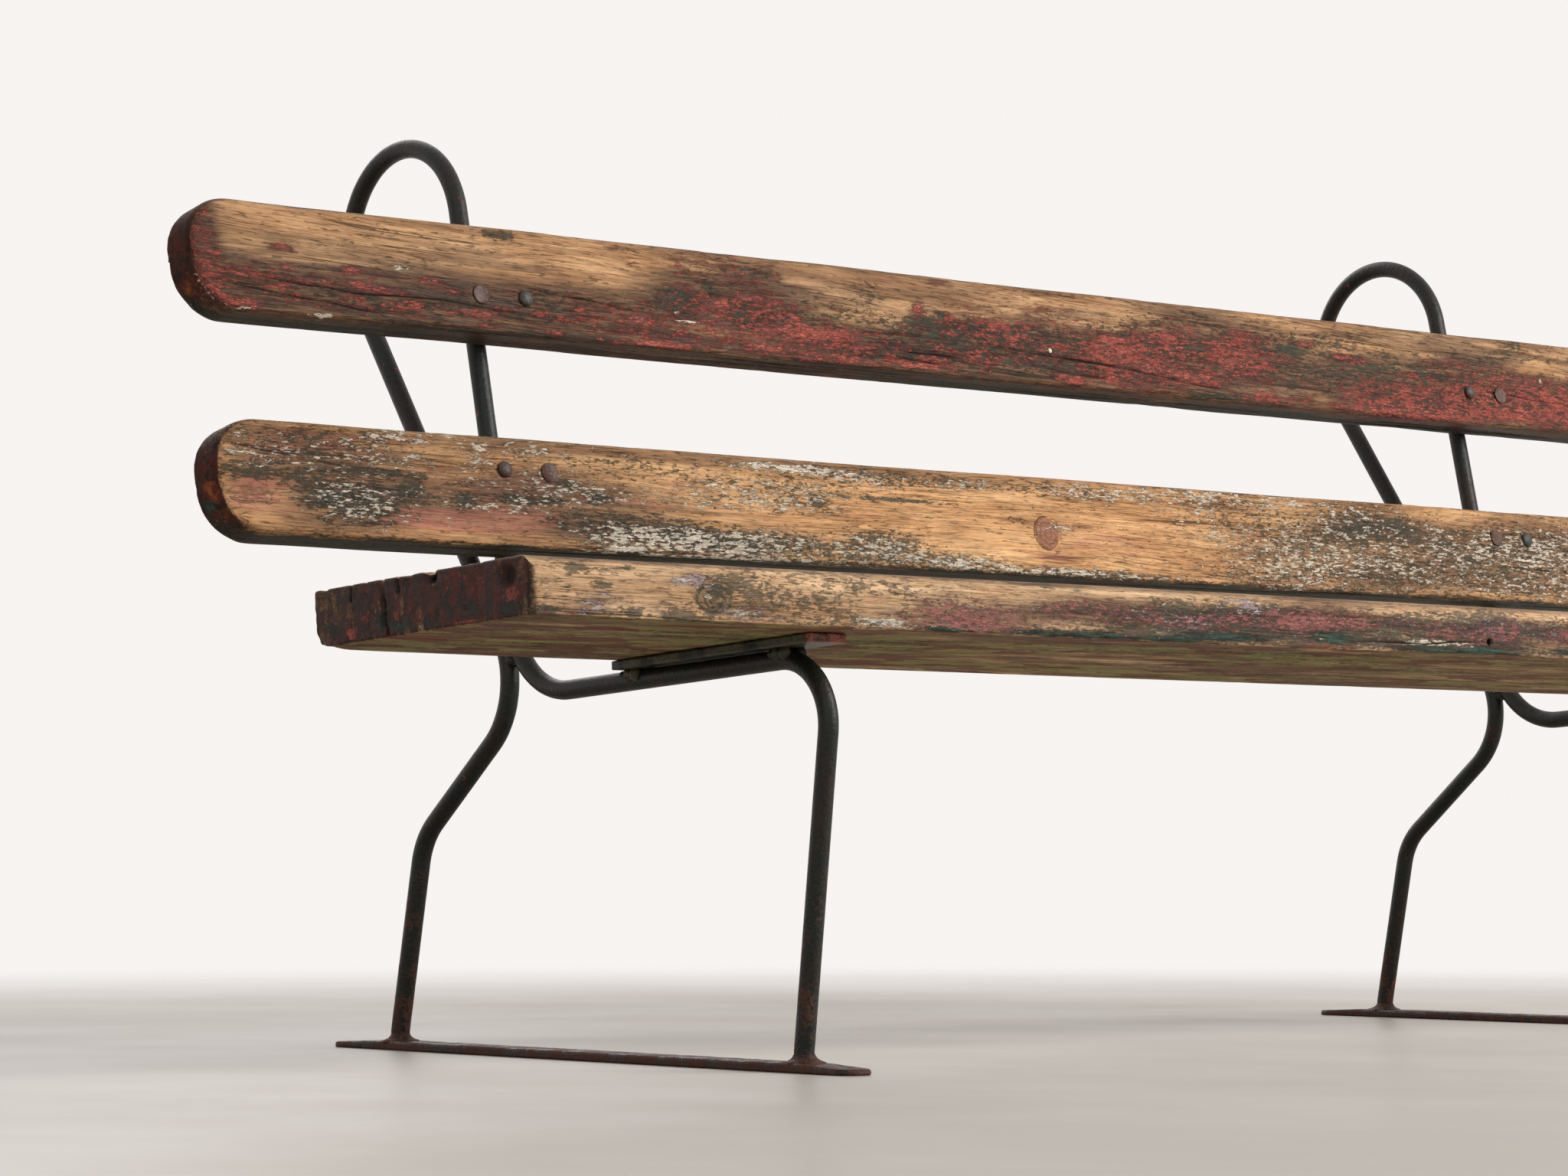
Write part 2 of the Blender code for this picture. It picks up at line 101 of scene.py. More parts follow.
# Runner and strap of one support
RUNNER_FRONT = -0.3635
RUNNER_REAR = 0.356
RUNNER_WIDTH = 0.036
RUNNER_THICKNESS = 0.008
RUNNER_TIP = 0.0052
STRAP_FRONT = 0.0065
STRAP_REAR = 0.2655
STRAP_WIDTH = 0.042
STRAP_THICKNESS = 0.008
STRAP_BOTTOM = BAR_RADIUS + HAIRLINE

# Boards, in the frames of the seat bar and the front upright
BOARD_LENGTH = 2.0
SEAT_FRONT = -0.0265
SEAT_REAR = 0.2655
SEAT_BOTTOM = STRAP_BOTTOM + STRAP_THICKNESS + HAIRLINE
SEAT_THICKNESS = 0.048
NOSE_RADIUS = 0.016
SLAT_HEIGHT = 0.102
SLAT_THICKNESS = 0.040
SLAT_END_RADIUS = 0.044
SLAT_BACK = -(BAR_RADIUS + HAIRLINE)
SLAT_FRONT = SLAT_BACK - SLAT_THICKNESS
TOP_SLAT_DROP = 0.0305
SLAT_GAP = 0.096
TOP_BOLT_Z = -0.015
LOWER_BOLT_Z = 0.020
BOLT_SIDE = 0.025

# Fixings
CLIP_WIDTH = 0.024
CLIP_THICKNESS = 0.003
CLIP_TAB = 0.010
BOLT_RADIUS = 0.003
NUT_THICKNESS = 0.005
BOLT_TAIL = 0.004
SCREW_LENGTH = 0.032
SCREW_RADIUS = 0.0022
SCREW_INSET = 0.030
SCREW_SIDE = STRAP_WIDTH / 2 - 0.0065

SIDES = (("left", -1), ("right", 1))


# Centre line of the bent bar

def arc_points(centre, start, sweep):
    """Points on an arc from centre + start, turning clockwise by sweep."""
    count = max(2, math.ceil(abs(sweep) / ARC_STEP))
    return [centre + Matrix.Rotation(-sweep * step / count, 2) @ start for step in range(count + 1)]


def corner_arc(before, corner, after, radius):
    """Arc that rounds a corner: its centre and its points."""
    back = (before - corner).normalized()
    ahead = (after - corner).normalized()
    half = back.angle(ahead) / 2
    centre = corner + (back + ahead).normalized() * (radius / math.sin(half))
    start = corner + back * (radius / math.tan(half)) - centre
    sweep = start.angle_signed(corner + ahead * (radius / math.tan(half)) - centre)
    return centre, arc_points(centre, start, sweep)


def tangent_point(point, centre, radius, side):
    """Where a line from the point touches a circle, on the chosen side."""
    reach = centre - point
    swing = math.asin(radius / reach.length) * side
    return point + Matrix.Rotation(swing, 2) @ reach.normalized() * math.sqrt(reach.length ** 2 - radius ** 2)


UPRIGHT_END = tangent_point(DIP_CORNER, LOOP_CENTRE, LOOP_RADIUS, 1)
UPRIGHT_LEAN = math.atan2(UPRIGHT_END.x - DIP_CORNER.x, UPRIGHT_END.y - DIP_CORNER.y)
SEAT_RAKE = math.atan2(SEAT_CORNER.y - DIP_CORNER.y, DIP_CORNER.x - SEAT_CORNER.x)
DIP_CENTRE, DIP_POINTS = corner_arc(SEAT_CORNER, DIP_CORNER, UPRIGHT_END, DIP_BEND)
TOP_SLAT_Z = (UPRIGHT_END - DIP_CORNER).length - TOP_SLAT_DROP - SLAT_HEIGHT / 2
LOWER_SLAT_Z = TOP_SLAT_Z - SLAT_HEIGHT - SLAT_GAP


def crook(corner_y):
    """The rear upright's end on the loop, and the crook's arc, for a crook corner."""
    corner = Vector((corner_y, CROOK_CORNER_Z))
    loop_end = tangent_point(corner, LOOP_CENTRE, LOOP_RADIUS, -1)
    centre, points = corner_arc(loop_end, corner, KNEE_CORNER, CROOK_BEND)
    return loop_end, centre, points


def touching_crook():
    """Crook corner at which the rear upright lies against the front one, found by halving."""
    near = DIP_CORNER.x - BAR_DIAMETER * 4
    far = DIP_CORNER.x + BAR_DIAMETER * 4
    for _ in range(40):
        middle = (near + far) / 2
        if (crook(middle)[1] - DIP_CENTRE).length < DIP_BEND + CROOK_BEND + BAR_DIAMETER + HAIRLINE:
            near = middle
        else:
            far = middle
    return middle


CROOK_CORNER = Vector((touching_crook(), CROOK_CORNER_Z))
LOOP_END, CROOK_CENTRE, CROOK_POINTS = crook(CROOK_CORNER.x)


def bar_route():
    """Centre line of one support from the front foot, over the loop, to the rear foot."""
    seat_points = corner_arc(FRONT_FOOT + ANKLE, SEAT_CORNER, DIP_CORNER, SEAT_BEND)[1]
    start = UPRIGHT_END - LOOP_CENTRE
    loop_points = arc_points(LOOP_CENTRE, start, start.angle_signed(LOOP_END - LOOP_CENTRE) % math.tau)
    knee_points = corner_arc(CROOK_CORNER, KNEE_CORNER, REAR_FOOT + ANKLE, KNEE_BEND)[1]
    route = [FRONT_FOOT, FRONT_FOOT + ANKLE] + seat_points + DIP_POINTS + loop_points
    return route + CROOK_POINTS + knee_points + [REAR_FOOT + ANKLE, REAR_FOOT]


def tilted_frame(corner, tilt):
    return Matrix.Translation((0, corner.x, corner.y)) @ Matrix.Rotation(tilt, 4, "X")


SEAT_FRAME = tilted_frame(SEAT_CORNER, -SEAT_RAKE)
BACK_FRAME = tilted_frame(DIP_CORNER, -UPRIGHT_LEAN)

# Axes of a plank's own length, width and thickness in the frame that it lies in
ALONG_X = Matrix.Identity(4)
STANDING = Matrix(((1, 0, 0, 0), (0, 0, -1, 0), (0, 1, 0, 0), (0, 0, 0, 1)))
ALONG_Y = Matrix(((0, -1, 0, 0), (1, 0, 0, 0), (0, 0, 1, 0), (0, 0, 0, 1)))


# Sizes and colours that can be changed

def length_property(name, description, default):
    return FloatProperty(name=name, description=description, default=default, min=0, unit="LENGTH",
                         subtype="DISTANCE", precision=5)


def colour_property(name, description, default):
    return FloatVectorProperty(name=name, description=description, default=default, min=0, max=1, size=3,
                               subtype="COLOR")


class BenchSizes(bpy.types.PropertyGroup):
    grain_depth: length_property("Grain depth", "How deep the soft grain has weathered", 0.00035)
    crack_depth: length_property("Crack depth", "Depth of the long drying cracks", 0.0032)
    edge_wear: length_property("Edge wear", "How much is worn and chipped off the boards' edges", 0.0016)
    board_edge: length_property("Board edge", "Radius of the boards' worn edges", 0.005)
    bar_diameter: length_property("Bar diameter", "Thickness of the round bar", BAR_DIAMETER + 0.0004)
    pitting: length_property("Pitting", "Depth of the rust pits in the iron", 0.00035)
    weld_bead: length_property("Weld bead", "Radius of the weld beads", 0.0052)
    dome_head: length_property("Domed head", "Diameter of the domed bolt heads", 0.0150)
    flat_head: length_property("Flat head", "Diameter of the flattened bolt heads", 0.0180)
    nut_width: length_property("Nut width", "Width of the square nuts", 0.011)
    seed: IntProperty(name="Seed", description="Number that fixes every random choice", default=7, min=0)


class BenchColours(bpy.types.PropertyGroup):
    pale_wood: colour_property("Pale wood", "Bare wood where it is palest", (0.89, 0.52, 0.262))
    tan_wood: colour_property("Tan wood", "Bare wood in the darker grain", (0.50, 0.245, 0.105))
    seat_pale: colour_property("Pale seat wood", "Bare wood of the seat where it is palest", (0.98, 0.65, 0.375))
    seat_tan: colour_property("Tan seat wood", "Bare wood of the seat in the darker grain", (0.60, 0.33, 0.16))
    gold_wood: colour_property("Golden wood", "Bare wood of the lower slat where it is palest", (1.0, 0.585, 0.275))
    amber_wood: colour_property("Amber wood", "Bare wood of the lower slat in the darker grain", (0.74, 0.36, 0.145))
    grey_wood: colour_property("Grey wood", "Wood that has weathered grey-brown", (0.085, 0.052, 0.036))
    coral: colour_property("Coral paint", "Brighter red paint", (0.58, 0.142, 0.088))
    scarlet: colour_property("Scarlet paint", "Red paint between coral and crimson", (0.37, 0.076, 0.056))
    crimson: colour_property("Crimson paint", "Darker red paint", (0.25, 0.060, 0.045))
    green: colour_property("Green paint", "Dark green undercoat", (0.012, 0.025, 0.018))
    moss: colour_property("Faded green paint", "Dark green paint where it has faded", (0.042, 0.046, 0.028))
    # Also the colour of the painted glints among the cream flecks
    cream: colour_property("Cream paint", "Pale paint flecks", (0.96, 0.88, 0.74))
    dust: colour_property("Greyed cream paint", "Pale paint where it is dirty", (0.78, 0.67, 0.52))
    salmon: colour_property("Salmon paint", "Thin pink wash on the lower slat", (0.55, 0.21, 0.145))
    rose: colour_property("Rose paint", "Deeper pink on the lower slat", (0.52, 0.15, 0.12))
    pink: colour_property("Pink paint", "Faded red on the seat's front", (0.38, 0.130, 0.112))
    blush: colour_property("Bright pink paint", "Brighter flecks of red on the seat's front", (0.52, 0.215, 0.175))
    plum: colour_property("Plum paint", "Purplish paint on the seat's front", (0.20, 0.080, 0.095))
    lilac: colour_property("Lilac paint", "Pale purplish flecks", (0.50, 0.39, 0.40))
    teal: colour_property("Teal paint", "Blue-green paint along the seat's front", (0.040, 0.120, 0.085))
    olive: colour_property("Olive paint", "Olive green under the seat", (0.340, 0.315, 0.115))
    umber: colour_property("Brown under the seat", "Stained wood under the seat", (0.260, 0.145, 0.070))
    mulberry: colour_property("Dark red paint", "Dark red paint that shows between brighter flakes", (0.14, 0.030, 0.026))
    rust_end: colour_property("Orange end", "Orange-brown paint on the slats' ends", (0.40, 0.115, 0.032))
    knot: colour_property("Knot", "Red-brown knot in the lower slat", (0.36, 0.150, 0.095))
    knot_dark: colour_property("Knot ring", "Darker rings of the knot", (0.21, 0.080, 0.050))
    bolt_grey: colour_property("Bolt grey", "Grey-green metal of the domed bolts", (0.060, 0.060, 0.050))
    bolt_brown: colour_property("Bolt brown", "Brown metal of the flat bolts", (0.150, 0.085, 0.060))
    maroon: colour_property("Maroon paint", "Dark red on the seat's ends", (0.095, 0.017, 0.011))
    # Colour of the dirt and painted shade in the rim just outside each paint flake
    flake_rim_dirt_and_shade: colour_property("Dark end grain", "Nearly black wood on the slats' ends", (0.022, 0.014, 0.010))
    bar_paint: colour_property("Bar paint", "Green-black paint of the bent bar", (0.012, 0.016, 0.012))
    strap_paint: colour_property("Strap paint", "Dark olive paint of the seat straps", (0.085, 0.078, 0.045))
    bar_brown: colour_property("Bar brown", "Worn brown of the bent bar", (0.022, 0.015, 0.011))
    rust: colour_property("Rust", "Red-brown rust", (0.080, 0.033, 0.022))
    dark_rust: colour_property("Dark rust", "Old, dark rust", (0.034, 0.018, 0.014))
    red_trace: colour_property("Red trace", "Traces of red paint on the iron", (0.24, 0.035, 0.024))
    floor: colour_property("Floor", "Pale floor", (0.55, 0.505, 0.45))
    backdrop: colour_property("Backdrop", "Pale background", (0.93, 0.90, 0.885))


# Repeatable noise

def hashed(cells, seed):
    """A number from 0 to 1 for each whole-number place."""
    x, y, z = (cells[:, axis].astype(np.uint32) for axis in range(3))
    mixed = x * np.uint32(73856093) ^ y * np.uint32(19349663) ^ z * np.uint32(83492791)
    mixed = mixed ^ np.uint32(seed * 97531 % 4294967296)
    mixed = (mixed ^ mixed >> np.uint32(15)) * np.uint32(2246822519)
    mixed = (mixed ^ mixed >> np.uint32(13)) * np.uint32(3266489917)
    return (mixed ^ mixed >> np.uint32(16)) / 4294967295


def noise(points, scale, seed):
    """Smooth noise from -1 to 1, with the scale's number of lumps to a metre along each axis."""
    spots = points * np.array(scale, float)
    cells = np.floor(spots).astype(np.int64)
    part = spots - cells
    fade = part * part * (3 - 2 * part)
    total = np.zeros(len(points))
    for corner in range(8):
        step = np.array((corner & 1, corner >> 1 & 1, corner >> 2))
        total += np.prod(np.where(step, fade, 1 - fade), axis=1) * hashed(cells + step, seed)
    return total * 2 - 1


def eased(value, low, high):
    """0 below low, 1 above high, and a smooth rise between."""
    share = np.clip((value - low) / (high - low), 0, 1)
    return share * share * (3 - 2 * share)


# Planks: closed meshes of four sides and two ends, in length, width and thickness

class Plank:
    """Points of a plank in its own length, width and thickness, with the mesh's faces."""

    def __init__(self, places, across, wall_steps, half_width, upper, lower):
        rows = len(across) - 1
        width = half_width(places)
        along = np.repeat(places[:, None], rows + 1, 1)
        side = across[None, :] * width[:, None]
        high = upper(along, side)
        low = lower(along, side)
        share = np.linspace(0, 1, wall_steps + 1)
        wall = [np.stack([np.repeat(places[:, None], wall_steps + 1, 1), np.repeat(side[:, edge, None], wall_steps + 1, 1),
                          high[:, edge, None] + (low - high)[:, edge, None] * share[None, :]], 2) for edge in (-1, 0)]
        top = np.stack([along, side, high], 2)
        base = np.stack([along, side, low], 2)
        rings = np.concatenate([top, wall[0][:, 1:-1], base[:, ::-1], wall[1][:, -2:0:-1]], 1)
        self.count = rings.shape[1]
        self.points = rings.reshape(-1, 3)
        quads = [self.ring_faces(len(places))]
        for end, turn in ((0, -1), (len(places) - 1, 1)):
            quads.append(self.end_faces(end, rows, wall_steps, top[end], base[end])[:, ::turn])
        self.faces = np.concatenate(quads)

    def ring_faces(self, rings):
        first = np.arange(rings - 1)[:, None] * self.count
        here = np.arange(self.count)[None, :]
        after = (here + 1) % self.count
        return np.stack([first + here, first + self.count + here, first + self.count + after, first + after],
                        2).reshape(-1, 4)

    def end_faces(self, end, rows, wall_steps, top, base):
        """Faces of one end, with new points inside it."""
        start = end * self.count
        number = np.zeros((rows + 1, wall_steps + 1), int)
        number[:, 0] = start + np.arange(rows + 1)
        number[:, -1] = start + rows + wall_steps + rows - np.arange(rows + 1)
        number[-1, :] = start + rows + np.arange(wall_steps + 1)
        number[0, :] = start + (self.count - np.arange(wall_steps + 1)) % self.count
        number[1:-1, 1:-1] = len(self.points) + np.arange((rows - 1) * (wall_steps - 1)).reshape(rows - 1, -1)
        share = np.linspace(0, 1, wall_steps + 1)[None, 1:-1, None]
        inside = top[1:-1, None] * (1 - share) + base[1:-1, None] * share
        self.points = np.concatenate([self.points, inside.reshape(-1, 3)])
        return np.stack([number[:-1, :-1], number[:-1, 1:], number[1:, 1:], number[1:, :-1]], 2).reshape(-1, 4)

    def solidify(self, name):
        """Makes the mesh, in the plank's own axes, and keeps its normals and the side that each point is on."""
        self.mesh = bpy.data.meshes.new(name)
        self.mesh.from_pydata(self.points.tolist(), [], self.faces.tolist())
        self.mesh.update()
        self.mesh.shade_smooth()
        normals = np.zeros(len(self.points) * 3, np.float32)
        self.mesh.vertex_normals.foreach_get("vector", normals)
        self.normals = normals.reshape(-1, 3).astype(float)
        squares = self.normals ** 2
        facing = self.normals > 0
        self.sides = {
            "upper": squares[:, 2] * facing[:, 2], "lower": squares[:, 2] * ~facing[:, 2],
            "near": squares[:, 1] * ~facing[:, 1], "far": squares[:, 1] * facing[:, 1], "ends": squares[:, 0],
        }
        rim = eased(squares[:, 0] + squares[:, 1], 0.30, 0.60)
        flat = squares[:, 2] + 1e-9
        self.flats = {side: share * ((1 - rim) / flat if side in ("upper", "lower") else rim / (1 - flat + 2e-9))
                      for side, share in self.sides.items()}

    def wear_down(self, depth):
        """Moves each point inwards by its depth."""
        worn = self.points - self.normals * depth[:, None]
        self.mesh.vertices.foreach_set("co", worn.astype(np.float32).ravel())
        self.mesh.update()

    def paint(self, name, values):
        layer = self.mesh.attributes.new(name, "FLOAT", "POINT")
        layer.data.foreach_set("value", np.clip(values, 0, 1).astype(np.float32))


def plank_places(half, end_radius, step, end_steps, spots=(), fine=0.0015):
    """Places along a plank where its rings lie, closer together round the spots and at the ends."""
    inner = half - end_radius
    places = list(np.linspace(-inner, inner, math.ceil(2 * inner / step) + 1))
    for spot, reach in spots:
        places += list(np.arange(spot - reach, spot + reach, fine))
    for turn in np.linspace(0, math.pi / 2, end_steps + 1)[1:]:
        places += [inner + end_radius * math.sin(turn), -inner - end_radius * math.sin(turn)]
    kept = []
    for place in sorted(places):
        if not kept or place - kept[-1] > 0.00008 or place == half:
            kept.append(place)
    return np.array(kept)


def rounded_width(half_length, half_width, end_radius):
    """Half width of a plank whose ends are rounded in plan, at each place along it."""
    def width(places):
        past = np.clip(np.abs(places) - (half_length - end_radius), 0, end_radius)
        return half_width - end_radius + np.sqrt(np.maximum(end_radius ** 2 - past ** 2, 0))
    return width


def edge_distance(along, side, half_length, half_width, end_radius):
    """Distance in from the outline of a plank with rounded ends."""
    out_x = np.abs(along) - (half_length - end_radius)
    out_y = np.abs(side) - (half_width - end_radius)
    outside = np.hypot(np.maximum(out_x, 0), np.maximum(out_y, 0)) + np.minimum(np.maximum(out_x, out_y), 0)
    return np.maximum(end_radius - outside, 0)


def round_over(distance, radius):
    """How far a rounded edge has dropped, at a distance in from it."""
    inside = radius - np.minimum(distance, radius)
    return radius - np.sqrt(np.maximum(radius ** 2 - inside ** 2, 0))


def crowded(low, high, count, crowd):
    """Values from low to high that lie closer together at both ends."""
    share = np.linspace(-1, 1, count + 1)
    share = share * (1 - crowd) + np.sin(share * math.pi / 2) * crowd
    return low + (high - low) * (share + 1) / 2


def groove(along, across, path, width, wander, seed):
    """Depth from 0 to 1 of a crack along a path of (along, across) points, tapering to its ends."""
    stops = np.array(path, float)
    line = np.stack([along, np.zeros_like(along), np.zeros_like(along)], 1)
    centre = np.interp(along, stops[:, 0], stops[:, 1]) + wander * noise(line, (28, 1, 1), seed)
    share = np.clip((along - stops[0, 0]) / (stops[-1, 0] - stops[0, 0]), 0, 1)
    taper = np.sqrt(np.clip(4 * share * (1 - share), 0, 1))
    taper = taper * (0.75 + 0.25 * noise(line, (45, 1, 1), seed + 1))
    return taper * np.exp(-((across - centre) / width) ** 2)


def blot(along, across, patch):
    """A soft-edged patch, from millimetres (along, across, half length, half width) and an amount."""
    x, y, half_length, half_width = (size / 1000 for size in patch[:4])
    amount = patch[4]
    return amount * np.exp(-np.abs((along - x) / half_length) ** 3 - np.abs((across - y) / half_width) ** 3)


def covered(base, along, across, where, patches):
    """Paint cover from 0 to 1: the base with patches added where a side is seen."""
    bare = 1 - base
    for patch in patches:
        bare = bare * (1 - blot(along, across, patch) * where)
    return 1 - bare


# Long cracks as paths of (along, across) with a width and a share of the full depth
TOP_SLAT_CRACKS = (
    (((-0.990, -0.0115), (-0.955, -0.0165), (-0.835, -0.0255), (-0.74, -0.0245), (-0.63, -0.0315)), 0.0011, 1.0),
    (((-0.980, -0.023), (-0.955, -0.0275), (-0.90, -0.033), (-0.83, -0.040), (-0.78, -0.044)), 0.0010, 0.9),
    (((-0.660, -0.003), (-0.60, -0.0085), (-0.55, -0.0125), (-0.50, -0.020)), 0.0010, 0.9),
    (((-0.640, -0.020), (-0.55, -0.028), (-0.46, -0.040)), 0.0008, 0.5),
    (((-0.460, 0.018), (-0.38, 0.013), (-0.31, 0.012)), 0.0007, 0.35),
    (((-0.190, -0.0295), (-0.15, -0.0312), (-0.105, -0.0320)), 0.0011, 1.0),
    (((-0.230, -0.0365), (-0.18, -0.0385), (-0.13, -0.0400)), 0.0009, 0.8),
    (((-0.085, -0.0160), (-0.04, -0.0170), (0.02, -0.0205), (0.13, -0.027), (0.27, -0.041)), 0.0011, 1.0),
    (((-0.010, -0.0330), (0.05, -0.0365), (0.11, -0.0395)), 0.0009, 0.8),
    (((0.340, 0.010), (0.45, 0.006), (0.60, 0.009)), 0.0007, 0.4),
    (((0.620, -0.008), (0.75, -0.016), (0.97, -0.024)), 0.0010, 0.8),
    (((0.700, 0.020), (0.82, 0.016), (0.96, 0.012)), 0.0008, 0.5),
)
LOWER_SLAT_CRACKS = (
    (((-0.992, 0.029), (-0.95, 0.024), (-0.90, 0.017)), 0.0011, 1.0),
    (((-0.800, 0.025), (-0.74, 0.021), (-0.68, 0.020)), 0.0009, 0.7),
    (((-0.620, 0.026), (-0.50, 0.022), (-0.42, 0.019)), 0.0007, 0.4),
    (((-0.440, 0.034), (-0.36, 0.031), (-0.29, 0.033)), 0.0009, 0.6),
    (((-0.260, 0.021), (-0.12, 0.018), (-0.03, 0.021)), 0.0009, 0.7),
    (((0.020, 0.017), (0.09, 0.018), (0.17, 0.010)), 0.0008, 0.6),
    (((0.100, -0.024), (0.19, -0.027), (0.30, -0.024)), 0.0007, 0.4),
    (((0.550, 0.026), (0.66, 0.025), (0.80, 0.022)), 0.0009, 0.7),
    (((0.600, -0.012), (0.78, -0.015), (0.96, -0.010)), 0.0009, 0.7),
)
SEAT_FRONT_CRACKS = (
    (((-0.160, 0.0035), (-0.06, 0.0062), (0.02, 0.0050)), 0.0009, 0.6),
    (((-0.300, 0.0045), (-0.22, 0.0020), (-0.13, 0.0015)), 0.0008, 0.5),
    (((-0.080, -0.0165), (0.03, -0.0150), (0.118, -0.0105)), 0.0010, 0.9),
    (((-0.930, -0.0100), (-0.87, -0.0080), (-0.80, -0.0120)), 0.0007, 0.4),
    (((0.200, 0.0000), (0.36, 0.0030), (0.52, 0.0020)), 0.0009, 0.6),
    (((0.560, -0.0080), (0.74, -0.0060), (0.96, -0.0090)), 0.0010, 0.8),
)

# Splits in the seat's left and right ends: distance across the seat, depth in the end and reach along the board
SEAT_SPLITS = {
    -1: ((0.0450, 0.0014, 1.0, 0.30, 1.2), (0.0920, 0.0010, 0.6, 0.08, 0.32), (0.0274, 0.0015, 0.7, 0.06, 0.28),
         (-0.0185, 0.0042, 1.0, 0.03, 0.20), (0.0700, 0.0009, 0.5, 0.04, 0.22), (-0.0800, 0.0009, 0.4, 0.05, 0.25)),
    1: ((0.0400, 0.0014, 0.9, 0.26, 1.2), (-0.0620, 0.0011, 0.6, 0.10, 0.45), (0.0980, 0.0011, 0.5, 0.07, 0.40),
        (0.0120, 0.0036, 0.9, 0.03, 0.22)),
}
SPLIT_SLANT = 0.16

# Paint on the seat's left end, in millimetres as (across, height, half width, half height, amount)
SEAT_END_PAINT = {
    "maroon_paint": ((-50, 5, 100, 22, 0.85), (100, 0, 40, 20, 0.35)),
    "teal_paint": ((23, -16, 13, 7, 0.62), (53, -12, 10, 8, 0.45), (-16, -18, 13, 6, 0.45), (-65, -13, 26, 7, 0.42),
                   (-116, -16, 16, 6, 0.50), (118, -10, 20, 8, 0.36)),
    "red_paint": ((92, -16, 7.5, 5, 1.0), (-120, -6, 13, 7, 0.60), (-62, -22.5, 22, 3, 0.70), (138, 18, 4, 6, 0.55),
                  (73, -4, 12, 6, 0.45), (30, -7, 6, 6, 0.55), (-70, 10, 60, 12, 0.30)),
}

# Paint that is left on each board's face, in millimetres as (along, across, half length, half width, amount)
TOP_SLAT_PAINT = {
    "red_paint": (
        (-800, -24, 220, 24, 0.26), (-415, 8, 85, 42, 0.42), (-300, -28, 100, 18, 0.48), (-60, -17, 230, 29, 0.46),
        (230, -12, 150, 38, 0.44), (300, 8, 45, 32, 0.34), (510, -29, 110, 25, 0.60), (760, -18, 200, 36, 0.56),
        (330, -42, 60, 9, 0.50), (570, -45, 110, 8, 0.60), (80, 30, 150, 18, 0.20), (-300, -44, 90, 7, 0.40),
        (-520, -30, 110, 20, 0.36), (-990, 0, 20, 50, 0.35), (-905, 10, 14, 4, 0.80), (-900, -8, 16, 4, 0.45),
        (-835, -5, 10, 3.5, 0.80), (-822, -18.5, 18, 3, 0.75), (-795, -21, 18, 3, 0.80), (-748, -7, 12, 4.5, 0.75),
        (-722, -15, 18, 4, 0.55), (-768, -32, 12, 4, 0.65), (-698, -34, 24, 4, 0.80), (-662, -26, 20, 3, 0.90),
        (-692, -44, 15, 3.5, 0.65), (-657, -12, 7, 3, 0.65), (-940, -18, 16, 2, 0.75), (-492, -46.6, 47, 2.8, 1.0),
        (-362, -41, 21, 4.5, 1.0), (-327, -12, 16, 8, 0.70), (-295, -22, 30, 5, 0.80), (-512, -24, 12, 5, 0.65),
        (-582, -21, 6, 4, 0.65), (-615, -45.5, 10, 3, 0.70), (-563, -47.5, 6, 2, 0.80), (-630, -9, 8, 4, 0.55),
        (-628, -29, 12, 4, 0.60), (-525, 43, 22, 4, 0.35), (-515, 28, 7, 3, 0.55), (-172, -43.7, 44, 3.2, 1.0),
        (-151, -36.5, 22, 2, 0.65), (36, -42.5, 22, 5.5, 1.0), (92, -39, 10, 6, 0.80), (-130, 44.5, 18, 3, 0.50),
        (-160, 16, 8, 6, 0.70), (-247, -24, 5, 7, 0.70), (-140, -22, 12, 5, 0.70), (-92, -24.5, 14, 8, 0.70),
        (-55, 3.5, 16, 5, 0.70), (-20, 2.5, 8, 8, 0.70), (-28, -5.5, 18, 3, 0.70), (100, 3.5, 20, 4, 0.80),
        (118, -7, 6, 4, 0.75), (85, -15, 8, 4, 0.80), (165, 12.5, 40, 4, 0.50), (225, -31, 40, 8, 0.65),
        (305, -43, 30, 4, 0.65), (385, 20, 20, 4, 0.65), (450, 8.5, 35, 5, 0.70), (560, -3, 30, 4, 0.70),
    ),
    "green_paint": (
        (-468, -4, 30, 15, 0.65), (-423, 15, 10, 8, 0.75), (-384, -9, 18, 12, 0.65), (-370, 35, 30, 5, 0.40),
        (-535, -14, 20, 4, 0.55), (-665, 43, 17, 4, 0.75), (-600, -18, 80, 18, 0.25), (-222, 24, 22, 12, 0.30),
        (-128, 11, 10, 4, 0.80), (-160, 1, 14, 6, 0.45), (-100, -20, 220, 24, 0.28), (-820, -30, 140, 14, 0.18),
        (240, -46, 50, 3, 0.70), (365, 12, 20, 4, 0.60), (200, -6, 60, 18, 0.35), (720, 0, 320, 40, 0.34),
        (520, -14, 160, 32, 0.26), (-60, -8, 230, 26, 0.20), (230, 4, 150, 34, 0.22), (0, -52, 1100, 3, 0.35),
    ),
    # Pale paint flecks and painted highlights: the patch at 8 mm along is a painted glint
    "pale_paint": ((-870, -49, 14, 2, 0.80), (-452, -22, 26, 1.4, 0.75), (-470, -14.5, 6, 1.5, 0.65),
                   (8, -14.5, 3, 4, 0.40), (-780, 2, 9, 2.5, 0.60)),
    "greyness": ((-760, -28, 340, 30, 0.90), (-140, -34, 420, 18, 0.60), (-990, 10, 20, 50, 0.45),
                 (500, -20, 620, 30, 0.42), (-200, 30, 260, 18, 0.14), (450, 25, 600, 30, 0.14), (-430, 0, 90, 40, 0.22)),
}
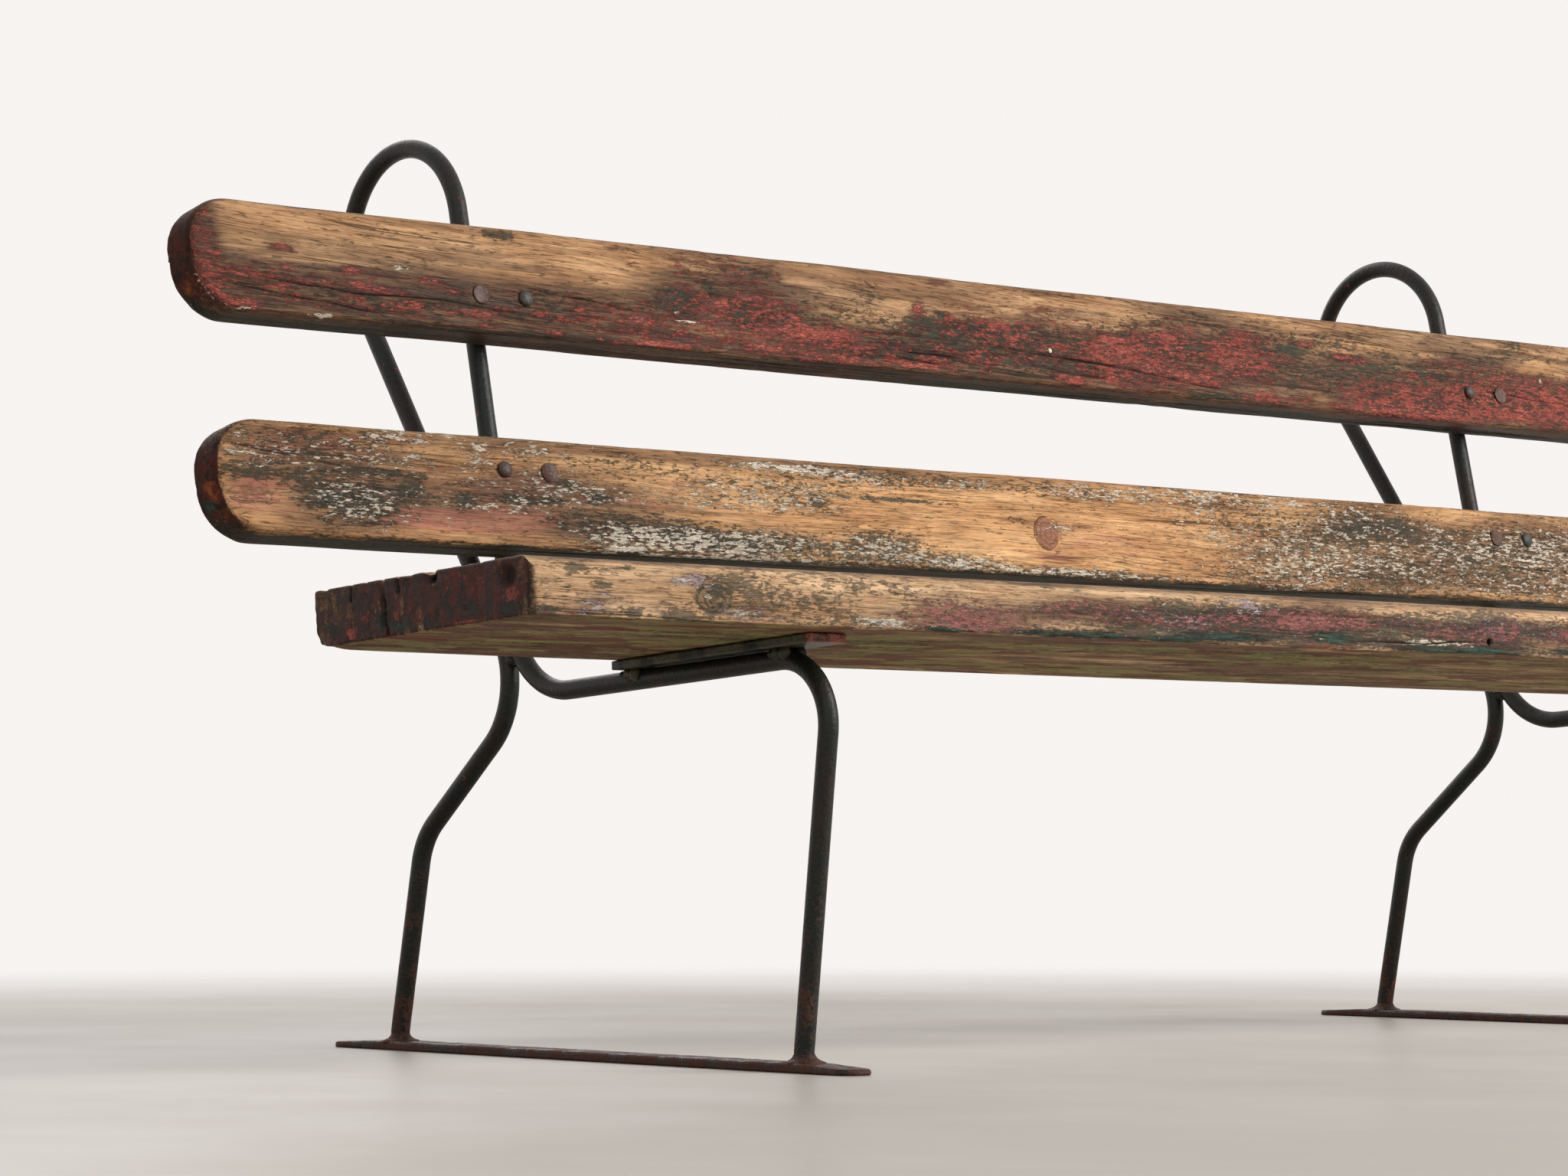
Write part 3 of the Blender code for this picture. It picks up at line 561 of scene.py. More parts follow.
LOWER_SLAT_PAINT = {
    "cream_paint": (
        (-860, -20, 50, 22, 0.25), (-900, 26, 90, 14, 0.18), (-850, 36, 30, 8, 0.22), (-800, 42, 40, 6, 0.34),
        (-790, 25, 22, 5, 0.24), (-725, 30, 14, 10, 0.24), (-690, 42, 60, 7, 0.24), (-700, -14, 60, 8, 0.16),
        (-560, -36, 70, 14, 0.42), (-565, -47, 20, 2.5, 0.85), (-430, -36, 110, 15, 0.46), (-365, 40.5, 70, 4, 0.60),
        (-400, 12, 100, 16, 0.20), (-260, 36, 50, 7, 0.34), (-140, 37, 60, 6, 0.42), (40, 37, 80, 7, 0.40),
        (-250, -34, 60, 17, 0.46), (-160, -42, 50, 8, 0.44), (0, -46, 130, 5, 0.44), (-9, -1, 18, 5, 0.42),
        (330, -4, 150, 50, 0.26), (600, -6, 190, 48, 0.28), (870, -4, 140, 46, 0.28), (170, 24, 60, 26, 0.24),
        (-760, 10, 190, 36, 0.07),
        (-600, 5, 60, 14, 0.16), (-450, -51, 160, 3, 0.40), (250, 43, 200, 8, 0.25),
    ),
    "green_paint": (
        (-965, 4, 35, 9, 0.60), (-900, 1.5, 40, 6, 0.50), (-830, 9, 45, 4, 0.60), (-860, -22, 46, 22, 0.44),
        (-930, 32, 80, 18, 0.27), (-830, 38, 60, 10, 0.20), (-800, -6, 16, 9, 0.50), (-742, -12, 12, 7, 0.58),
        (-685, -7.5, 30, 4, 0.68), (-640, -6, 12, 3, 0.62), (-628, 11.5, 10, 6, 0.58), (-590, -1, 16, 5, 0.52),
        (-540, -32, 100, 18, 0.48), (-400, -35, 120, 15, 0.48), (-327, 10, 9, 7, 0.75), (-230, 16.5, 70, 2, 0.60),
        (-250, -33, 60, 18, 0.44), (-160, -42, 50, 8, 0.42), (0, -47, 140, 5, 0.44), (-70, 5, 12, 4, 0.50),
        (330, -4, 150, 50, 0.29), (600, -4, 190, 48, 0.32), (430, 20, 70, 14, 0.26), (870, -2, 140, 48, 0.30),
        (-925, -12, 36, 20, 0.10), (-780, 4, 190, 44, 0.08),
        (-450, 30, 200, 12, 0.22), (-400, 12, 100, 16, 0.18), (-100, 38, 260, 8, 0.30), (0, -52, 1100, 4, 0.60),
    ),
    "salmon_paint": ((-962, -14, 30, 18, 0.85), (-775, -30, 50, 12, 0.80), (-690, -28, 45, 14, 0.75),
                     (-545, -3, 35, 4, 0.60), (-500, 14, 18, 5, 0.50), (40, -13, 60, 12, 0.45), (-30, -30, 30, 8, 0.45), (-700, 6, 120, 10, 0.40), (-900, 30, 90, 14, 0.35)),
    "red_paint": ((-972, -15, 22, 11, 0.55), (-900, 26, 90, 18, 0.16), (-855, -34, 20, 6, 0.40), (-600, 8, 120, 12, 0.16)),
    "greyness": ((-940, 30, 90, 26, 0.28), (-800, 34, 200, 18, 0.16), (600, 0, 420, 50, 0.42), (-420, 44, 400, 8, 0.35),
                 (-500, -34, 200, 14, 0.30), (-860, -20, 60, 26, 0.40), (-720, -8, 220, 34, 0.48),
                 (-930, -14, 60, 32, 0.12), (-925, -42, 70, 9, 0.22)),
}
SEAT_PAINT = {
    "pink_paint": ((-545, -12, 75, 12, 0.38), (-470, -19, 130, 6, 0.28), (-380, -2, 70, 10, 0.50), (-290, -6, 60, 9, 0.36), (-190, -2, 140, 10, 0.38),
                   (90, -1, 100, 10, 0.46), (-60, 2, 90, 8, 0.30), (320, 0, 140, 11, 0.46), (650, 0, 250, 11, 0.52)),
    "plum_paint": ((-840, 9, 20, 6, 0.62), (-784, -16, 18, 6, 0.62), (-752, -19, 12, 3, 0.55), (-938, -13, 14, 8, 0.40),
                   (-635, -18, 25, 3, 0.50), (-200, 13, 40, 7, 0.50), (-300, -8, 40, 9, 0.35), (400, 4, 240, 8, 0.38)),
    "teal_paint": ((-425, -22, 72, 4.5, 0.90), (-300, -22, 35, 3, 0.70), (-565, -22.5, 25, 3, 0.60), (-95, -14, 35, 6, 0.75),
                   (-225, -17, 55, 4, 0.55), (70, -20, 90, 4, 0.55), (300, -18, 160, 5, 0.62), (700, -17, 260, 6, 0.58)),
    "cream_paint": ((30, -14.5, 80, 3, 0.55), (-635, -18, 25, 3, 0.30), (-845, 9, 14, 3, 0.35), (-786, -16, 14, 3, 0.35)),
    "red_paint": ((-95, -23, 35, 2.5, 0.55),),
    "maroon_paint": (),
    "smudge": ((-953, 14, 14, 4, 0.60), (-900, 17, 5, 4, 0.60), (-930, 1, 10, 4, 0.75), (-992, -20, 14, 5, 0.85),
               (-898, -20, 10, 4, 0.75), (-852, -20, 14, 6, 0.80), (-800, 6, 24, 10, 0.26), (-815, -14, 50, 7, 0.24),
               (-700, -8, 60, 10, 0.26), (-640, 8, 50, 8, 0.24), (-300, 4, 30, 9, 0.55), (-440, 6, 30, 6, 0.40),
               (-445, 20, 12, 5, 0.60), (-180, -4, 120, 12, 0.40), (300, -6, 600, 14, 0.35), (350, -20, 800, 6, 0.42),
               (-60, 6, 260, 10, 0.30), (500, 6, 460, 12, 0.30), (-640, -20, 180, 4, 0.30)),
    "greyness": ((-250, -4, 330, 14, 0.40), (500, -2, 600, 16, 0.34), (-938, -12, 20, 10, 0.35)),
}

# How much darker the wood is under each old paint
UNDER_PAINT = (("red_paint", 0.40), ("green_paint", 0.25), ("cream_paint", 0.10), ("pink_paint", 0.5), ("teal_paint", 0.6))

# Orange patches on the slats' ends, in millimetres as (across, thickness, half width, half thickness, amount)
SLAT_END_RUST = {
    "top": ((-31, 2, 9, 16, 1.0), (8, -2, 26, 14, 0.34)),
    "lower": ((-14, 6, 12, 13, 0.90), (-37, 8, 9, 12, 0.95), (18, 2, 18, 15, 0.34)),
}
SLAT_END_GREEN = {"top": ((-45, 0, 10, 22, 1.0),), "lower": ((-25, 0, 8, 12, 0.80), (-48, -2, 8, 22, 1.0))}

# Feature places on the boards
UNDERSIDE_START = {"top": 0.0005, "lower": 0.0150}
LOWER_KNOT = (-0.032, -0.007, 0.0170)
SEAT_KNOT = (-0.816, -0.0050, 0.0195, 0.0120)
SEAT_NAIL_HOLE = (0.121, -0.0110, 0.0032)
SEAT_END_HOLE = (-0.1170, 0.0090, 0.0085)
NAILS = ((0.012, -0.0150), (0.765, 0.0060))


# Boards

def slat_plank(sizes, spots, seed):
    """A slat with rounded ends and unevenly worn edges, its front upwards in its own axes."""
    half_length = BOARD_LENGTH / 2
    half_width = SLAT_HEIGHT / 2

    def face(along, side):
        line = np.stack([along.ravel(), np.sign(side.ravel()), np.zeros(along.size)], 1)
        radius = sizes.board_edge * (1 + 0.35 * noise(line, (11, 1, 1), seed).reshape(along.shape))
        radius = radius + 0.004 * eased(np.abs(along), half_length - 0.05, half_length - 0.02)
        distance = edge_distance(along, side, half_length, half_width, SLAT_END_RADIUS)
        return SLAT_THICKNESS / 2 - round_over(distance, radius)

    places = plank_places(half_length, SLAT_END_RADIUS, 0.0068, 16, spots)
    plank = Plank(places, crowded(-1, 1, 104, 0.25), 18, rounded_width(half_length, half_width, SLAT_END_RADIUS),
                  face, lambda along, side: -face(along, side))
    return plank


def seat_plank(sizes, spots):
    """The seat plank with a rounded front top edge; its rows crowd round the end splits."""
    half_length = BOARD_LENGTH / 2
    half_width = (SEAT_REAR - SEAT_FRONT) / 2
    corner = 0.003
    plan_corner = 0.007

    def top(along, side):
        ends = edge_distance(along, side, half_length, half_width, plan_corner)
        drop = np.maximum(round_over(side + half_width, NOSE_RADIUS), round_over(ends, corner))
        return SEAT_THICKNESS / 2 - drop

    def base(along, side):
        ends = edge_distance(along, side, half_length, half_width, plan_corner)
        return -SEAT_THICKNESS / 2 + round_over(ends, corner)

    nose = -half_width + NOSE_RADIUS * (1 - np.cos(np.linspace(0, math.pi / 2, 14)))
    rows = list(nose) + list(np.linspace(-half_width + NOSE_RADIUS, half_width - 0.004, 50))
    rows += [half_width - 0.002, half_width - 0.0007, half_width]
    for splits in SEAT_SPLITS.values():
        for middle, width, *_ in splits:
            rows += [middle + width * step for step in (-1.8, -0.9, 0, 0.9, 1.8)]
    kept = []
    for row in sorted(rows):
        if not kept or row - kept[-1] > 0.00035:
            kept.append(row)
    kept[-1] = half_width
    places = plank_places(half_length, plan_corner, 0.0076, 7, spots)
    return Plank(places, np.array(kept) / half_width, 26, rounded_width(half_length, half_width, plan_corner), top, base)


def grain_wear(plank, sizes, seed):
    """Depth that rain and use have worn: soft grain, uneven faces and chipped edges."""
    points = plank.points
    ends = plank.sides["ends"]
    fibre = np.abs(noise(points, (5, 240, 240), seed)) * 0.6 + np.abs(noise(points, (9, 420, 420), seed + 1)) * 0.4
    rough_end = np.abs(noise(points, (60, 210, 210), seed + 2))
    depth = sizes.grain_depth * (fibre * (1 - ends) + 2.2 * rough_end * ends)
    depth = depth + 0.0006 * eased(noise(points, (3, 16, 16), seed + 3), -0.2, 0.9)
    corners = 1 - np.max(np.abs(plank.normals), axis=1)
    chips = eased(noise(points, (24, 60, 60), seed + 4) + 0.6 * noise(points, (70, 160, 160), seed + 5), 0.15, 0.9)
    return depth + sizes.edge_wear * 3.0 * corners * chips * (1 - 0.6 * eased(np.abs(points[:, 0]), 0.95, 0.99))


def add_cracks(plank, cracks, across, where, sizes, seed):
    """Depth of the listed cracks on one side."""
    total = np.zeros(len(plank.points))
    for number, (path, width, share) in enumerate(cracks):
        cut = groove(plank.points[:, 0], across, path, width, 0.0009, seed + number * 3)
        total = np.maximum(total, share * cut * where)
    return total


def scattered_cracks(generator, count, half_across, spread=0.95):
    """Random long cracks for a side that has none listed."""
    cracks = []
    for _ in range(count):
        start = generator.uniform(-spread, spread - 0.3)
        length = generator.uniform(0.12, 0.45)
        height = generator.uniform(-half_across, half_across)
        slope = generator.uniform(-0.03, 0.02)
        path = tuple((start + length * step, height + slope * length * step) for step in (0, 0.5, 1))
        cracks.append((path, generator.uniform(0.0008, 0.0013), generator.uniform(0.3, 0.9)))
    return cracks


def paint_cover(plank, across, where, patches, bases, seed, spread=0.22):
    """Paint cover over the whole board: patches on the front and an even share on the other sides."""
    base = sum(plank.flats[side] * share for side, share in bases.items())
    base = base * (1 + 0.8 * noise(plank.points, (3, 18, 18), seed + 2) * (1 - where))
    cover = covered(np.clip(base, 0, 1), plank.points[:, 0], across, where, patches)
    uneven = noise(plank.points, (9, 55, 55), seed) + 0.6 * noise(plank.points, (22, 130, 130), seed + 1)
    return cover + spread * uneven * np.minimum(cover * 4, 1)


def ring_dent(along, across, spot, radius, width):
    """A ring-shaped dent round a spot, as round a plug or a bolt head."""
    return np.exp(-((np.hypot(along - spot[0], across - spot[1]) - radius) / width) ** 2)


def make_slat(level, sizes, seed):
    """One back slat with its cracks, knot, dents and paint."""
    generator = np.random.default_rng(seed)
    top = level == "top"
    bolt_z = TOP_BOLT_Z if top else LOWER_BOLT_Z
    spots = [(SUPPORT_X * side + step, 0.009) for _, side in SIDES for step in (-BOLT_SIDE, BOLT_SIDE)]
    spots += [(LOWER_KNOT[0], 0.020)] if not top else [(nail[0], 0.005) for nail in NAILS]
    plank = slat_plank(sizes, spots, seed)
    plank.solidify(level + "_slat")
    along, across = plank.points[:, 0], plank.points[:, 1]
    front, back = plank.sides["upper"], plank.sides["lower"]
    cracks = add_cracks(plank, TOP_SLAT_CRACKS if top else LOWER_SLAT_CRACKS, across, front, sizes, seed)
    hidden = scattered_cracks(generator, 9, 0.042)
    cracks = np.maximum(cracks, add_cracks(plank, hidden, across, back, sizes, seed + 50))
    edge_cracks = scattered_cracks(generator, 6, 0.012)
    edges = plank.sides["near"] + plank.sides["far"]
    cracks = np.maximum(cracks, add_cracks(plank, edge_cracks, plank.points[:, 2], edges, sizes, seed + 90))
    depth = grain_wear(plank, sizes, seed) + sizes.crack_depth * cracks
    for spot, _ in spots[:4]:
        near = np.hypot(along - spot, across - bolt_z)
        depth = depth + front * 0.0011 * np.exp(-(near / 0.0105) ** 4)
    # The crack attribute is painted shade: the cracks are darkened towards near black
    dark = cracks * 1.1
    if not top:
        x, z, radius = LOWER_KNOT
        ring = ring_dent(along, across, (x, z), radius, 0.0012) * front
        near = np.hypot(along - x, across - z)
        depth = depth + 0.0014 * ring - 0.0004 * front * eased(radius - near, 0, 0.003)
        # Painted shade: the knot's ring is darkened on its left side only, away from the light
        dark = np.maximum(dark, 0.60 * ring * eased(x + 0.006 - along, -0.008, 0.008))
        plank.paint("knot", front * (1 - near / radius))
    plank.wear_down(depth)
    plank.paint("crack", dark)
    bases = {
        "red_paint": {"upper": 0.06, "far": 0.22, "lower": 0.38, "ends": 0.10, "near": 0.16} if top else
                     {"upper": 0.04, "lower": 0.18, "far": 0.12, "near": 0.12},
        "green_paint": {"upper": 0.09, "near": 0.74, "lower": 0.36, "ends": 0.06, "far": 0.26},
        "pale_paint": {"lower": 0.05},
        # Cream flecks are real paint and painted highlights: the even share on the front stands for glints
        "cream_paint": {"upper": 0.12, "far": 0.26, "lower": 0.24, "near": 0.08, "ends": 0.05},
        "salmon_paint": {"upper": 0.05, "lower": 0.25},
        "greyness": {"upper": 0.18 if top else 0.08, "far": 0.34, "near": 0.7, "lower": 0.55, "ends": 0.6},
    }
    thick = plank.points[:, 2]
    ragged = 0.005 * noise(plank.points, (16, 1, 60), seed + 70) + 0.003 * noise(plank.points, (70, 1, 160), seed + 71)
    wrapped = plank.flats["near"] * eased(thick - UNDERSIDE_START[level] + ragged, -0.0005, 0.0015)
    plank.flats["near"] = plank.flats["near"] - wrapped
    plank.flats["upper"] = plank.flats["upper"] + wrapped
    covers = {}
    for number, (name, patches) in enumerate((TOP_SLAT_PAINT if top else LOWER_SLAT_PAINT).items()):
        covers[name] = paint_cover(plank, across, plank.flats["upper"], patches, bases[name], seed + 200 + number * 7,
                                   0.22 if top else 0.11)
    covers["greyness"] = covers["greyness"] + sum(covers.get(name, 0) * share for name, share in UNDER_PAINT)
    if top:
        inset = edge_distance(along, across, BOARD_LENGTH / 2, SLAT_HEIGHT / 2, SLAT_END_RADIUS)
        corner = eased(-0.925 - along, 0, 0.02) * eased(-0.014 - across, 0, 0.008) * front
        covers["red_paint"] = np.maximum(covers["red_paint"], 0.95 * corner * eased(0.013 - inset, 0, 0.004))
        covers["pale_paint"] = np.maximum(covers["pale_paint"], 0.75 * corner * eased(0.0045 - inset, 0, 0.002))
    for name, cover in covers.items():
        plank.paint(name, cover)
    ends = plank.sides["ends"]
    plank.paint("dark_end", plank.flats["ends"] * 0.95 + plank.flats["near"] * 0.20 + 0.25 * ends)
    plank.paint("rust_end", covered(0.08 * ends, across, thick, ends, SLAT_END_RUST[level]))
    plank.paint("green_end", covered(0.02 * ends, across, thick, ends, SLAT_END_GREEN[level]))
    frame_axes = BACK_FRAME @ Matrix.Translation((0, (SLAT_FRONT + SLAT_BACK) / 2, TOP_SLAT_Z if top else LOWER_SLAT_Z))
    plank.mesh.transform(frame_axes @ STANDING)
    return plank.mesh


def make_seat(sizes, seed):
    """The seat plank with its splits, knot, nail hole and paint."""
    generator = np.random.default_rng(seed)
    spots = [(SEAT_KNOT[0], 0.022), (SEAT_NAIL_HOLE[0], 0.006)]
    plank = seat_plank(sizes, spots)
    plank.solidify("seat")
    along, across, height = plank.points.T
    half_width = (SEAT_REAR - SEAT_FRONT) / 2
    front = np.maximum(plank.flats["near"], eased(-half_width + 0.017 - across, 0, 0.004) * (height > 0))
    cracks = add_cracks(plank, SEAT_FRONT_CRACKS, height, front, sizes, seed)
    for side in ("upper", "lower"):
        listed = scattered_cracks(generator, 12, half_width - 0.02)
        cracks = np.maximum(cracks, add_cracks(plank, listed, across, plank.sides[side], sizes, seed + 40))
    splits = np.zeros(len(along))
    for end, rows in SEAT_SPLITS.items():
        inwards = BOARD_LENGTH / 2 - along * end
        for number, (middle, width, share, reach, tall) in enumerate(rows):
            wander = 0.0016 * noise(plank.points * (0, 0, 1), (1, 1, 95), seed + 60 + number)
            line = np.exp(-((across - middle - SPLIT_SLANT * height * (tall > 1) - wander) / width) ** 4)
            fade = np.clip(1 - inwards / reach, 0, 1)
            foot = SEAT_THICKNESS * (0.5 - tall)
            splits = np.maximum(splits, share * line * fade * eased(height, foot - 0.003, foot + 0.003))
    depth = grain_wear(plank, sizes, seed) + sizes.crack_depth * (cracks + 1.6 * splits)
    end_edge = eased(np.abs(along), BOARD_LENGTH / 2 - 0.012, BOARD_LENGTH / 2) * eased(height, 0.010, 0.024)
    nicks = eased(noise(plank.points, (30, 85, 60), seed + 8), 0.25, 0.75)
    depth = depth + 0.0040 * end_edge * nicks * (1 - 0.5 * plank.sides["ends"])
    chipped = np.exp(-np.hypot((np.abs(along) - 1) / 0.02, np.hypot((across - 0.146) / 0.012, (height + 0.024) / 0.010)) ** 2)
    depth = depth + 0.006 * chipped
    x, z, half_x, half_z = SEAT_KNOT
    knot = np.hypot((along - x) / half_x, (height - z) / half_z)
    depth = depth + front * (0.0012 * np.exp(-((knot - 1) / 0.16) ** 2) + 0.0007 * eased(1 - knot, 0, 0.4))
    x, z, radius = SEAT_NAIL_HOLE
    hole = np.exp(-(np.hypot(along - x, height - z) / radius) ** 4) * front
    y, z, radius = SEAT_END_HOLE
    pit = np.exp(-(np.hypot(across - y, height - z) / radius) ** 4) * plank.sides["ends"] * (along < 0)
    depth = depth + 0.0055 * hole + 0.0045 * pit
    plank.wear_down(depth)
    # The crack attribute is painted shade in the cracks, splits, nail hole, end hole and chipped corner
    plank.paint("crack", np.maximum.reduce([cracks * 1.1, splits * 1.4, hole * 1.2, pit * 0.55, chipped * 0.5]))
    plank.paint("knot", front * (1.1 - knot))
    bases = {
        "pink_paint": {"near": 0.14, "lower": 0.12, "upper": 0.14, "far": 0.30, "ends": 0.0},
        "plum_paint": {"near": 0.10, "upper": 0.06, "far": 0.15},
        "teal_paint": {"upper": 0.05, "far": 0.36, "lower": 0.06, "ends": 0.10},
        "maroon_paint": {"ends": 0.50},
        "smudge": {"near": 0.16, "upper": 0.22, "far": 0.22, "lower": 0.26, "ends": 0.20},
        # Cream flecks are real paint and painted highlights: the even share on the front stands for glints
        "cream_paint": {"near": 0.10},
        "red_paint": {"near": 0.06, "upper": 0.05, "far": 0.10},
        "greyness": {"upper": 0.34, "lower": 0.30, "far": 0.55, "ends": 1.0, "near": 0.08},
    }
    covers = {}
    for number, (name, patches) in enumerate(SEAT_PAINT.items()):
        covers[name] = paint_cover(plank, height, front, patches, bases[name], seed + 300 + number * 7)
        if name in SEAT_END_PAINT:
            covers[name] = covered(np.clip(covers[name], 0, 1), across, height, plank.sides["ends"], SEAT_END_PAINT[name])
    covers["greyness"] = covers["greyness"] + sum(covers.get(name, 0) * share for name, share in UNDER_PAINT)
    for name, cover in covers.items():
        plank.paint(name, cover)
    underside = plank.sides["lower"] * (0.70 + 0.3 * noise(plank.points, (4, 24, 1), seed + 9))
    plank.paint("olive_paint", underside + 0.25 * plank.sides["far"])
    middle = Matrix.Translation((0, (SEAT_FRONT + SEAT_REAR) / 2, SEAT_BOTTOM + SEAT_THICKNESS / 2))
    plank.mesh.transform(SEAT_FRAME @ middle @ ALONG_X)
    return plank.mesh


# Iron pieces

def iron_plank(name, half_length, half_width, thickness, end_radius, edge, tip, sizes, seed):
    """A flat bar with rounded, pitted edges that thins towards its tips."""
    def top(along, side):
        distance = edge_distance(along, side, half_length, half_width, end_radius)
        thin = (thickness - tip) * eased(np.abs(along), half_length - 0.075, half_length)
        return thickness - thin - round_over(distance, edge)

    def base(along, side):
        return round_over(edge_distance(along, side, half_length, half_width, end_radius), edge * 0.5)

    places = plank_places(half_length, end_radius, 0.0050, 9)
    plank = Plank(places, crowded(-1, 1, 22, 0.5), 7, rounded_width(half_length, half_width, end_radius), top, base)
    plank.solidify(name)
    lumps = 0.6 * np.abs(noise(plank.points, (70, 80, 80), seed)) + 0.4 * np.abs(noise(plank.points, (190, 200, 200), seed + 1))
    bruises = eased(noise(plank.points, (14, 40, 40), seed + 2), 0.2, 0.9) * (1 - np.max(np.abs(plank.normals), axis=1))
    plank.wear_down(sizes.pitting * 1.5 * lumps * (1 - 0.9 * plank.sides["lower"]) + 0.004 * bruises)
    return plank.mesh


def foot_weld(centre, seed):
    """Lumpy fillet of weld round one foot, as a closed ring of points."""
    inner = BAR_RADIUS - 0.0006
    profile = [(inner, 0.0068), (inner + 0.0010, 0.0062), (inner + 0.0020, 0.0043), (inner + 0.0036, 0.0026),
               (inner + 0.0060, 0.0013), (inner + 0.0088, 0.0004), (inner + 0.0092, -0.0012), (inner, -0.0012)]
    turns = 40
    shape = bmesh.new()
    rows = []
    for turn in range(turns):
        angle = math.tau * turn / turns
        flat = np.array([[math.cos(angle) * 0.012, math.sin(angle) * 0.012, height] for _, height in profile])
        lumps = noise(flat, (170, 170, 110), seed)
        row = []
        for (radius, height), lump in zip(profile, lumps):
            outwards = radius + (radius - inner) * 0.30 * lump
            lift = height * (1 + 0.16 * lump)
            row.append(shape.verts.new((centre[0] + math.cos(angle) * outwards, centre[1] + math.sin(angle) * outwards,
                                        RUNNER_THICKNESS + lift)))
        rows.append(row)
    for turn in range(turns):
        here, after = rows[turn], rows[(turn + 1) % turns]
        for step in range(len(profile)):
            ahead = (step + 1) % len(profile)
            shape.faces.new((here[step], after[step], after[ahead], here[ahead]))
    return closed_mesh(shape, "foot_weld")


def closed_mesh(shape, name, smooth_angle=math.radians(60)):
    """Plain mesh from a bmesh, with its doubles merged and its faces outwards."""
    bmesh.ops.remove_doubles(shape, verts=shape.verts, dist=1e-6)
    bmesh.ops.recalc_face_normals(shape, faces=shape.faces)
    mesh = bpy.data.meshes.new(name)
    shape.to_mesh(mesh)
    shape.free()
    mesh.shade_smooth()
    mesh.set_sharp_from_angle(angle=smooth_angle)
    return mesh


def merged(name, meshes):
    """Several meshes in one."""
    shape = bmesh.new()
    for mesh in meshes:
        shape.from_mesh(mesh)
    result = bpy.data.meshes.new(name)
    shape.to_mesh(result)
    shape.free()
    result.shade_smooth()
    result.set_sharp_from_angle(angle=math.radians(60))
    return result


def turned(profile, sides, name):
    """A solid turned about Z from (radius, height) points that start and end on the axis."""
    shape = bmesh.new()
    points = [shape.verts.new((radius, 0, height)) for radius, height in profile]
    edges = [shape.edges.new(pair) for pair in zip(points, points[1:])]
    bmesh.ops.spin(shape, geom=points + edges, cent=(0, 0, 0), axis=(0, 0, 1), angle=math.tau, steps=sides,
                   use_merge=True)
    return closed_mesh(shape, name, math.radians(35))


def bolt_shape(head_diameter, head_height, dome, name):
    """Bolt along +Z with its head's underside at zero, and threads past the nut."""
    head = head_diameter / 2
    profile = [(0, -head_height)]
    for step in range(1, 8):
        angle = math.pi / 2 * step / 7
        profile.append((head * math.sin(angle) ** dome, -head_height * math.cos(angle) ** dome))
    grip = SLAT_THICKNESS + CLIP_THICKNESS + HAIRLINE * 2
    tail = grip + NUT_THICKNESS + BOLT_TAIL
    profile += [(BOLT_RADIUS, 0), (BOLT_RADIUS, grip)]
    pitch = 0.001
    for thread in range(int((tail - grip) / pitch)):
        start = grip + thread * pitch
        profile += [(BOLT_RADIUS * 0.84, start + pitch * 0.3), (BOLT_RADIUS, start + pitch * 0.8)]
    profile += [(BOLT_RADIUS * 0.8, tail), (0, tail)]
    return turned(profile, 20, name)


def nut_shape(width):
    """Square nut with its upper corners rounded off and a threaded hole."""
    shape = bmesh.new()
    bmesh.ops.create_cube(shape, size=1, matrix=Matrix.Translation((0, 0, NUT_THICKNESS / 2))
                          @ Matrix.Diagonal((width, width, NUT_THICKNESS, 1)))
    bmesh.ops.bevel(shape, geom=list(shape.edges), offset=0.0007, segments=2, profile=0.6, affect="EDGES")
    block = closed_mesh(shape, "nut_block", math.radians(35))
    hole = turned([(0, -0.001), (BOLT_RADIUS + HAIRLINE, -0.001), (BOLT_RADIUS + HAIRLINE, NUT_THICKNESS + 0.001),
                   (0, NUT_THICKNESS + 0.001)], 20, "nut_hole")
    return cut(block, hole, "square_nut")


def screw_shape():
    """Countersunk wood screw standing on its slotted head."""
    head = 0.0045
    profile = [(0, 0), (head - 0.0003, 0), (head, 0.0003), (SCREW_RADIUS, 0.0026), (SCREW_RADIUS, SCREW_LENGTH - 0.006),
               (0, SCREW_LENGTH)]
    body = turned(profile, 20, "screw_body")
    shape = bmesh.new()
    bmesh.ops.create_cube(shape, size=1, matrix=Matrix.Diagonal((0.02, 0.0012, 0.0024, 1)))
    return cut(body, closed_mesh(shape, "slot"), "seat_screw")


def cut(base, tool, name):
    """The base mesh with the tool's shape cut out."""
    holder = bpy.data.objects.new("holder", base)
    cutter = bpy.data.objects.new("cutter", tool)
    for item in (holder, cutter):
        bpy.context.scene.collection.objects.link(item)
    step = holder.modifiers.new("cut", "BOOLEAN")
    step.operation = "DIFFERENCE"
    step.solver = "EXACT"
    step.object = cutter
    depsgraph = bpy.context.evaluated_depsgraph_get()
    result = bpy.data.meshes.new_from_object(holder.evaluated_get(depsgraph))
    result.name = name
    for item in (holder, cutter):
        bpy.data.objects.remove(item)
    result.shade_smooth()
    result.set_sharp_from_angle(angle=math.radians(35))
    return result


